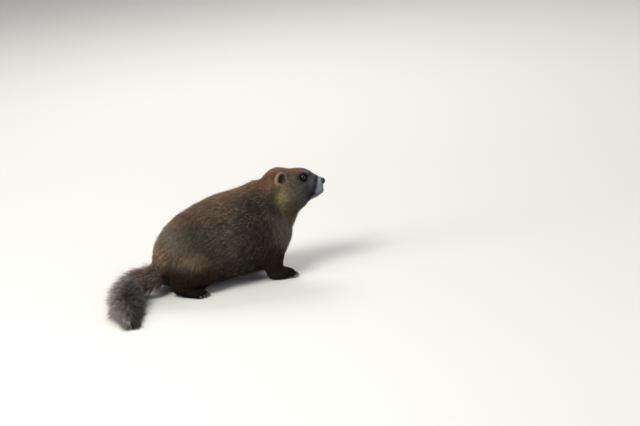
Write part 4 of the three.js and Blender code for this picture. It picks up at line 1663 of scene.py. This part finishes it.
@dataclass
class Brush:
    """The tail's long hair: fanned out straight from the flesh all round, its tips parted in ragged locks."""

    skin: bpy.types.Object
    hide: Hide
    markings: Markings
    count: int = 16000
    locks: int = 1100
    loose: float = 1.28  # how much wider the loose hair spreads than the solid locks
    flatness: Point = (0.62, 0.78, 0.5)  # height over width of the brush at the rump, behind and at the tip
    droop: float = 5.0  # how far the tips of the hair sink under their own weight
    flesh: tuple[float, ...] = (14, 9, 7, 2.5)  # the flesh's radius from the rump to the tip
    stations: tuple[float, ...] = (0.0, 0.3, 0.65, 1.0)  # where the hairs bend, along their length
    seed: int = 19

    def __post_init__(self) -> None:
        """Seeds the random numbers."""
        self.draws = np.random.default_rng(self.seed)

    def grow(self) -> dict[str, Tufts]:
        """Grows the hair of the brush.

        Returns:
            The tufts of its two halves along the tail, by the names of their pieces.
        """
        draws, count = self.draws, self.count
        lock = draws.integers(0, self.locks, count)
        t = draws.uniform(-0.12, 0.95, self.locks)[lock] + draws.normal(size=count) * 0.018
        t = np.minimum(t, 0.94)  # no hair is rooted past the end of the flesh
        middle = draws.uniform(0, 2 * math.pi, self.locks)[lock]
        around = middle + draws.normal(size=count) * 0.26
        spread = 1.3 * draws.random(self.locks)[lock] ** 0.55 * draws.uniform(0.85, 1.12, count)
        length = np.interp(t, [0, 1], TAIL_HAIR) * draws.uniform(0.8, 1.04, self.locks)[lock]
        length *= draws.uniform(0.78, 1.04, count) * (1 + 0.04 * ramp(t, 0.7, 0.93))
        droop = self.droop * draws.uniform(0.2, 1.2, self.locks)[lock]
        path, tangent = TAIL.at(t * TAIL.length)
        across = unit(np.cross([0.0, 0, 1], tangent))
        splay = self.loose * SPLAY * (1.1 - 0.85 * ramp(t, 0.4, 0.95)) * spread
        flesh = np.interp(t, [-0.1, 0.2, 0.5, 1.0], self.flesh)
        lines = []
        for f in self.stations:
            angle = around + (middle - around) * 0.7 * f
            rise = np.interp(t, [0.0, 0.35, 0.8], self.flatness) * np.sin(angle)
            out = across * np.cos(angle)[:, None] + np.array([0.0, 0, 1]) * rise[:, None]
            way = unit(tangent + out * splay[:, None])
            p = path + out * (flesh * 0.75)[:, None] + way * (length * f)[:, None]
            p[:, 2] -= droop * f**2
            floor = SOLE_Z + 0.4 + draws.uniform(0, 3.0, count) * (1 - f)
            p[:, 2] = np.maximum(p[:, 2], floor)
            lines.append(p)
        lines = np.stack(lines, axis=1)
        roots = lines[:, 0]
        width = 0.85 * draws.uniform(0.75, 1.2, count)[:, None] * np.array([0.9, 1.05, 0.75])
        outward = unit(out + [0, 0, 1e-3])
        chance = np.clip(0.45 * draws.random(self.locks)[lock] + 0.55 * draws.random(count), 0, 1)
        marks = self.root_marks(roots, t, out[:, 0])
        tufts = Tufts(lines, width, outward, self.root_uvs(roots), marks, chance)
        waist = np.median(roots[:, 1])
        halves = {"root": roots[:, 1] >= waist, "tip": roots[:, 1] < waist}
        return {f"coat_brush_{end}": tufts.only(np.flatnonzero(chosen)) for end, chosen in halves.items()}

    def root_uvs(self, roots: Array) -> Array:
        """Finds the skin's bake map at the roots.

        Args:
            roots: the hairs' roots, one in each row.

        Returns:
            The map coordinates of the skin's vertex nearest to each.
        """
        mesh = self.skin.data
        uv = np.zeros((len(mesh.vertices), 2), np.float32)
        numbers = np.empty(len(mesh.loops), np.int32)
        mesh.loops.foreach_get("vertex_index", numbers)
        uv[numbers] = loop_uvs(self.skin)
        places = piece_points(self.skin)
        behind = np.flatnonzero(places[:, 0] < -50)
        return uv[behind[nearest(places[behind], roots)]]

    def root_marks(self, roots: Array, t: Array, ahead: Array) -> dict[str, Array]:
        """Marks the hair: all tail, ruddy near the rump, and darkened by painted shade along the side towards
        the head.

        Args:
            roots: the hairs' roots.
            t: how far along the tail each is, from 0 to 1.
            ahead: how far each leans towards the head's end.

        Returns:
            An array for each mark's name.
        """
        count = len(roots)
        shares = self.hide.shares(roots[:1])
        marks = {name: np.zeros(count) for name in self.markings.at(roots[:1], roots[:1], shares)}
        marks["tail"] = np.ones(count)
        marks["ruddy"] = 0.7 * (1 - ramp(t, 0.0, 0.3))
        marks["rust"] = 0.55 * (1 - ramp(t, 0.0, 0.3))
        # Painted shade: the brush darkened on its side towards the head
        strayed = ahead + self.draws.normal(size=count) * 0.22
        shaded_side = ramp(t, 0.05, 0.4) * ramp(strayed, -0.6, 0.35)
        marks["black"] = 0.01 + 0.78 * shaded_side + 0.08 * ramp(t, 0.65, 0.95)
        marks["grizzle"] = np.full(count, 0.8)
        return marks


@dataclass
class Skin:
    """The hide as a piece, in place of all the solids of flesh."""

    hide: Hide
    markings: Markings
    flesh: tuple[str, ...] = ("torso", "neck", "head", "tail")
    sided: tuple[str, ...] = ("ear", "upper_arm", "forearm", "thigh", "shank", "forepaw", "hind_foot")

    def build(self) -> bpy.types.Object:
        """Builds, unwraps and dresses the skin.

        Returns:
            The new piece.
        """
        vertices, quads = self.hide.surface()
        piece = make_piece("hide", vertices, [quads])
        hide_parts(*self.flesh, *(f"{part}_{side.label}" for part in self.sided for side in Side))
        marks = self.markings.at(vertices, self.hide.normals(vertices), self.hide.shares(vertices))
        set_marks(piece, {name: values for name, values in marks.items() if name != "grizzle"})
        unwrap(piece)
        piece.data.materials.append(TannedHide().material())
        return piece


@dataclass
class Eye:
    """An eyeball with a cornea that stands a little proud."""

    side: Side
    radius: float = EYE_RADIUS - 0.1
    cornea: float = 0.5  # how far the cornea stands out at its middle
    rings: int = 28
    spokes: int = 40

    def build(self, material: bpy.types.Material) -> bpy.types.Object:
        """Builds the eye in rings round its own axis.

        Args:
            material: its material.

        Returns:
            The new piece.
        """
        way = EYE_WAY[self.side]
        u = unit(np.cross(way, [0.0, 0, 1]))
        v = np.cross(way, u)
        polar = np.linspace(0, math.pi, self.rings + 1)[1:-1]
        turn = np.linspace(0, 2 * math.pi, self.spokes, endpoint=False)
        radius = self.radius + self.cornea * np.exp(-((polar / 0.6) ** 4))
        ring = np.cos(turn)[:, None] * u + np.sin(turn)[:, None] * v
        along, out = ((wave * radius)[:, None, None] for wave in (np.cos(polar), np.sin(polar)))
        body = along * way + out * ring
        poles = np.array([way * (self.radius + self.cornea), -way * self.radius])
        vertices = np.vstack([body.reshape(-1, 3), poles]) + EYE_AT[self.side]
        rows = np.arange((self.rings - 1) * self.spokes).reshape(-1, self.spokes)
        after = np.roll(rows, -1, axis=1)
        quads = np.stack([rows[:-1], rows[1:], after[1:], after[:-1]], -1).reshape(-1, 4)
        front, back = (np.full(self.spokes, rows.size + n) for n in range(2))
        caps = np.hstack([[front, rows[0], after[0]], [back, after[-1], rows[-1]]]).T
        piece = make_piece(f"eyeball_{self.side.label}", vertices, [quads, caps])
        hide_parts(f"eye_{self.side.label}")
        set_marks(piece, {"angle": np.concatenate([np.repeat(polar, self.spokes), [0, math.pi]])})
        piece.data.materials.append(material)
        return piece


@dataclass
class Nose:
    """The nose pad: rounded wings round two comma-shaped nostrils, and a groove down its middle."""

    half: float = 9.0  # half the side of the grid round the pad
    step: float = 0.4

    def shapes(self) -> list[Shape]:
        """Lists the masses of the pad, then what is carved out of it.

        Returns:
            The shapes.
        """
        x, _, z = NOSE
        made: list[Shape] = [Mass((x - 0.2, 0, z), (4.9, 5.9, 5.9), blend=2, on=HEAD)]
        made += [Mass((x + 0.5, s.value * 3.9, z - 0.4), (3.9, 3.1, 4.0), blend=2, on=HEAD) for s in Side]
        made.append(Mass((x + 5.3, 0, z - 2), (1.5, 0.5, 5), blend=0.8, on=HEAD, carve=True))
        for s in Side:
            at, turn = (x + 4.4, s.value * 3.2, z - 0.6), (s.value * 0.5, 0, s.value * 0.5)
            made.append(Mass(at, (3, 1.3, 2), turn, 0.6, HEAD, True))
            slit = Place((x + 2.6, s.value * 5.9, z - 0.2), (0, 0, s.value * 0.9), HEAD)
            made.append(Mass((0, 0, 0), (2.6, 0.9, 0.7), blend=0.5, on=slit, carve=True))
        return made

    def build(self) -> bpy.types.Object:
        """Polygonises and dresses the nose.

        Returns:
            The new piece.
        """
        axes = [np.arange(m - self.half, m + self.half, self.step) for m in HEAD.point(*NOSE)]
        points = np.stack(np.meshgrid(*axes, indexing="ij"), axis=-1)
        values = np.full(points.shape[:3], 1e3)
        for shape in self.shapes():
            values = blended(values, shape, shape.distance(points))
        vertices, quads = net(axes, values)
        piece = make_piece("nose_pad", vertices, [quads])
        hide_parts("nose")
        piece.data.materials.append(NoseLeather().material())
        return piece


@dataclass
class Claws:
    """Curved digging claws, deeper than wide, with a ridge along the top."""

    sides: int = 10
    half_width: float = 1.35
    half_depth: float = 1.7

    def build(self, material: bpy.types.Material) -> None:
        """Builds one piece for each claw.

        Args:
            material: their material.
        """
        for side in Side:
            for foot in Foot:
                for n, line in enumerate(Paw(foot, side).claw_lines()):
                    piece = self.claw(f"{foot.value}_{side.label}_{n + 1}", line)
                    piece.data.materials.append(material)

    def claw(self, name: str, line: Array) -> bpy.types.Object:
        """Sweeps one claw along its middle line.

        Args:
            name: the foot, the side and the toe.
            line: the middle line, from the root to the point.

        Returns:
            The new piece.
        """
        ahead = unit(np.gradient(line, axis=0))
        across = unit(np.cross([0.0, 0, 1], ahead))
        up = np.cross(ahead, across)
        t = np.linspace(0, 1, len(line))
        taper = (1 - t**1.6) ** 0.75 + 0.06
        turn = np.linspace(0, 2 * math.pi, self.sides, endpoint=False)
        side_way = (taper * self.half_width)[:, None, None] * across[:, None] * np.cos(turn)[None, :, None]
        up_way = (taper * self.half_depth)[:, None, None] * up[:, None] * np.sin(turn)[None, :, None]
        vertices = (line[:, None] + side_way + up_way).reshape(-1, 3)
        vertices[:, 2] = np.maximum(vertices[:, 2], SOLE_Z)
        rows = np.arange(len(vertices)).reshape(-1, self.sides)
        after = np.roll(rows, -1, axis=1)
        quads = np.stack([rows[:-1], after[:-1], after[1:], rows[1:]], -1).reshape(-1, 4)
        piece = make_piece(f"horn_{name}", vertices, [quads, rows[:1, ::-1], rows[-1:]])
        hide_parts(f"claw_{name}")
        set_marks(piece, {"tip": np.repeat(t, self.sides)})
        return piece


@dataclass
class Whiskers:
    """Rows of vibrissae on the whisker pads, and a few over each eye."""

    hide: Hide
    rows: int = 4
    per_row: int = 6
    brow: int = 3
    width: float = 0.42
    stations: int = 7
    seed: int = 31

    def __post_init__(self) -> None:
        """Seeds the random numbers."""
        self.draws = np.random.default_rng(self.seed)

    def build(self, side: Side, material: bpy.types.Material) -> bpy.types.Object:
        """Builds the whiskers of one side as one piece.

        Args:
            side: the side.
            material: their material.

        Returns:
            The new piece.
        """
        s = side.value
        starts, ways, lengths = [], [], []
        for row in range(self.rows):
            for n in range(self.per_row):
                across, down = 9.5 + 0.9 * n, 14 + 3.9 * row + 0.5 * n
                starts.append(HEAD.point(MUZZLE_X + 6 - 3.3 * n, s * across, -down))
                ways.append(HEAD.way(-0.35 - 0.13 * n, s * 1.0, 0.30 - 0.24 * row))
                lengths.append(16 + 5.0 * n + 3 * (row < 3))
        for n in range(self.brow):
            starts.append(HEAD.point(46 - 3 * n, s * 20, 12))
            ways.append(HEAD.way(-0.8, s * 1.0, 0.45))
            lengths.append(18)
        starts, ways, lengths = np.array(starts), np.array(ways), np.array(lengths, float)
        ways = unit(ways + self.draws.normal(size=ways.shape) * 0.07)
        lengths *= self.draws.uniform(0.8, 1.15, len(lengths))
        for _ in range(6):
            starts = starts - self.hide.normals(starts) * self.hide.distance(starts)[:, None]
        t = np.linspace(0, 1, self.stations)
        bend = HEAD.way(-0.55, 0, -0.65) * 0.28
        ways = ways[:, None] * t[:, None] + bend * t[:, None] ** 2
        lines = starts[:, None] + ways * lengths[:, None, None]
        widths = self.width * (1 - 0.75 * np.tile(t[:-1], (len(starts), 1)))
        vertices, faces = tufts_mesh(lines, widths, np.tile([0.0, 0, 1], (len(starts), 1)), 0.8)
        piece = make_piece(f"whiskers_{side.label}", vertices, faces)
        set_marks(piece, {"tip": np.tile(np.append(np.repeat(t[:-1], 3), 1.0), len(starts))})
        piece.data.materials.append(material)
        return piece


@dataclass(frozen=True)
class Lamp:
    """A square soft light, aimed at the animal's middle."""

    name: str
    at: Point  # in metres
    size: float  # the side of the square, in metres
    power: float  # in watts
    colour: int

    def build(self) -> None:
        """Adds the light to the scene."""
        data = bpy.data.lights.new(self.name, "AREA")
        data.size = self.size
        data.energy = self.power
        data.color = linear(self.colour)[:3]
        made = bpy.data.objects.new(self.name, data)
        made.location = self.at
        made.rotation_euler = (Vector((0, 0, 0.1)) - Vector(self.at)).to_track_quat("-Z", "Y").to_euler()
        bpy.context.scene.collection.objects.link(made)


@dataclass(frozen=True)
class Studio:
    """The camera at the photograph's angle, a pale floor and soft light."""

    frame: tuple[int, int] = (640, 426)  # the photograph's frame, in pixels
    anchor_at: Point = (0.0, -50.0, 0.0)  # a point on the ground under the animal's right flank
    anchor_pixel: tuple[float, float] = (198.0, 295.0)  # where the photograph shows it
    pixel: float = 1.8  # millimetres for each pixel at that point
    distance: float = 5000.0
    yaw: float = math.radians(18)
    elevation: float = math.radians(15)
    roll: float = math.radians(5.6)
    sensor: float = 36.0
    reach: float = 14.0  # from the middle of the floor to its sides, in metres
    sky: int = 0xE4E8EC
    sky_strength: float = 0.42
    lamps: tuple[Lamp, ...] = (
        Lamp("key", (-1.5, -1.1, 2.3), 1.3, 80, 0xFFFEFA),
        Lamp("fill", (1.8, -1.6, 1.0), 1.8, 17, 0xEAF1FF),
        Lamp("side", (-2.4, -0.3, 0.9), 1.2, 26, 0xFFFFFF),
        Lamp("rim", (0.6, 2.0, 1.9), 1.2, 40, 0xFFFFFF),
    )

    def camera(self) -> None:
        """Sets the camera so that the anchor falls on its pixel, with no shift."""
        right = np.array([math.cos(self.yaw), -math.sin(self.yaw), 0.0])
        level = np.array([math.sin(self.yaw), math.cos(self.yaw), 0.0])
        away = level * math.cos(self.elevation) - np.array([0, 0, math.sin(self.elevation)])
        up = np.cross(right, away)
        across = right * math.cos(self.roll) - up * math.sin(self.roll)
        above = right * math.sin(self.roll) + up * math.cos(self.roll)
        column = self.frame[0] / 2 - self.anchor_pixel[0]
        row = self.anchor_pixel[1] - self.frame[1] / 2
        aim = np.array(self.anchor_at) + (across * column + above * row) * self.pixel
        where = (aim - away * self.distance + OFFSET) * MM
        data = bpy.data.cameras.new("camera")
        data.sensor_width = self.sensor
        data.lens = self.sensor * self.distance / (self.frame[0] * self.pixel)
        made = bpy.data.objects.new("camera", data)
        matrix = np.eye(4)
        matrix[:3] = np.stack([across, above, -away, where], axis=1)
        made.matrix_world = Matrix(matrix)
        bpy.context.scene.collection.objects.link(made)
        bpy.context.scene.camera = made

    def floor(self) -> None:
        """Lays the floor under the feet."""
        corners = [(x * self.reach, y * self.reach, 0) for x, y in ((-1, -1), (1, -1), (1, 1), (-1, 1))]
        mesh = bpy.data.meshes.new("floor")
        mesh.from_pydata(corners, [], [(0, 1, 2, 3)])
        mesh.materials.append(FloorPaint().material())
        made = bpy.data.objects.new("floor", mesh)
        bpy.context.scene.collection.objects.link(made)

    def build(self) -> None:
        """Makes the floor, the camera, the lights and the surroundings."""
        self.floor()
        self.camera()
        for lamp in self.lamps:
            lamp.build()
        world = bpy.data.worlds.new("studio")
        world.use_nodes = True
        colour, strength = world.node_tree.nodes["Background"].inputs[:2]
        colour.default_value = linear(self.sky)
        strength.default_value = self.sky_strength
        bpy.context.scene.world = world
        bpy.context.scene.view_settings.view_transform = "Standard"


def split(region: Region, tufts: Tufts) -> dict[str, Tufts]:
    """Splits a region into pieces of the right and the left, and the flank also at its middle.

    Args:
        region: the region.
        tufts: its tufts.

    Returns:
        The tufts of each piece, by the piece's name.
    """
    x, y = tufts.lines[:, 0, 0], tufts.lines[:, 0, 1]
    halves = {side.label: y * side.value > 0 for side in Side}
    if region is Region.FLANK:
        waist = np.median(x)
        ends = {"rear": x < waist, "front": x >= waist}
        halves = {f"{side}_{end}": a & b for side, a in halves.items() for end, b in ends.items()}
    return {
        f"coat_{region.label}_{label}": tufts.only(np.flatnonzero(own)) for label, own in halves.items()
    }


def main() -> None:
    """Builds every piece of the marmot, then the studio."""
    logging.basicConfig(level=logging.INFO, format="%(message)s")
    hide = Hide(Anatomy())
    markings = Markings(hide)
    skin = Skin(hide, markings).build()
    hair = GuardHair().material()
    horn = ClawHorn().material()
    gloss = EyeGloss().material()
    vibrissa = WhiskerHorn().material()
    for side in Side:
        Eye(side).build(gloss)
    Nose().build()
    Claws().build(horn)
    whiskers = Whiskers(hide)
    for side in Side:
        whiskers.build(side, vibrissa)
    for region, tufts in Pelage(hide, skin, markings).grow().items():
        for name, chosen in split(region, tufts).items():
            chosen.build(name, region.slot, hair)
    for name, tufts in Brush(skin, hide, markings).grow().items():
        tufts.build(name, "tail_fur", hair)
    Studio().build()


if __name__ == "__main__":
    main()
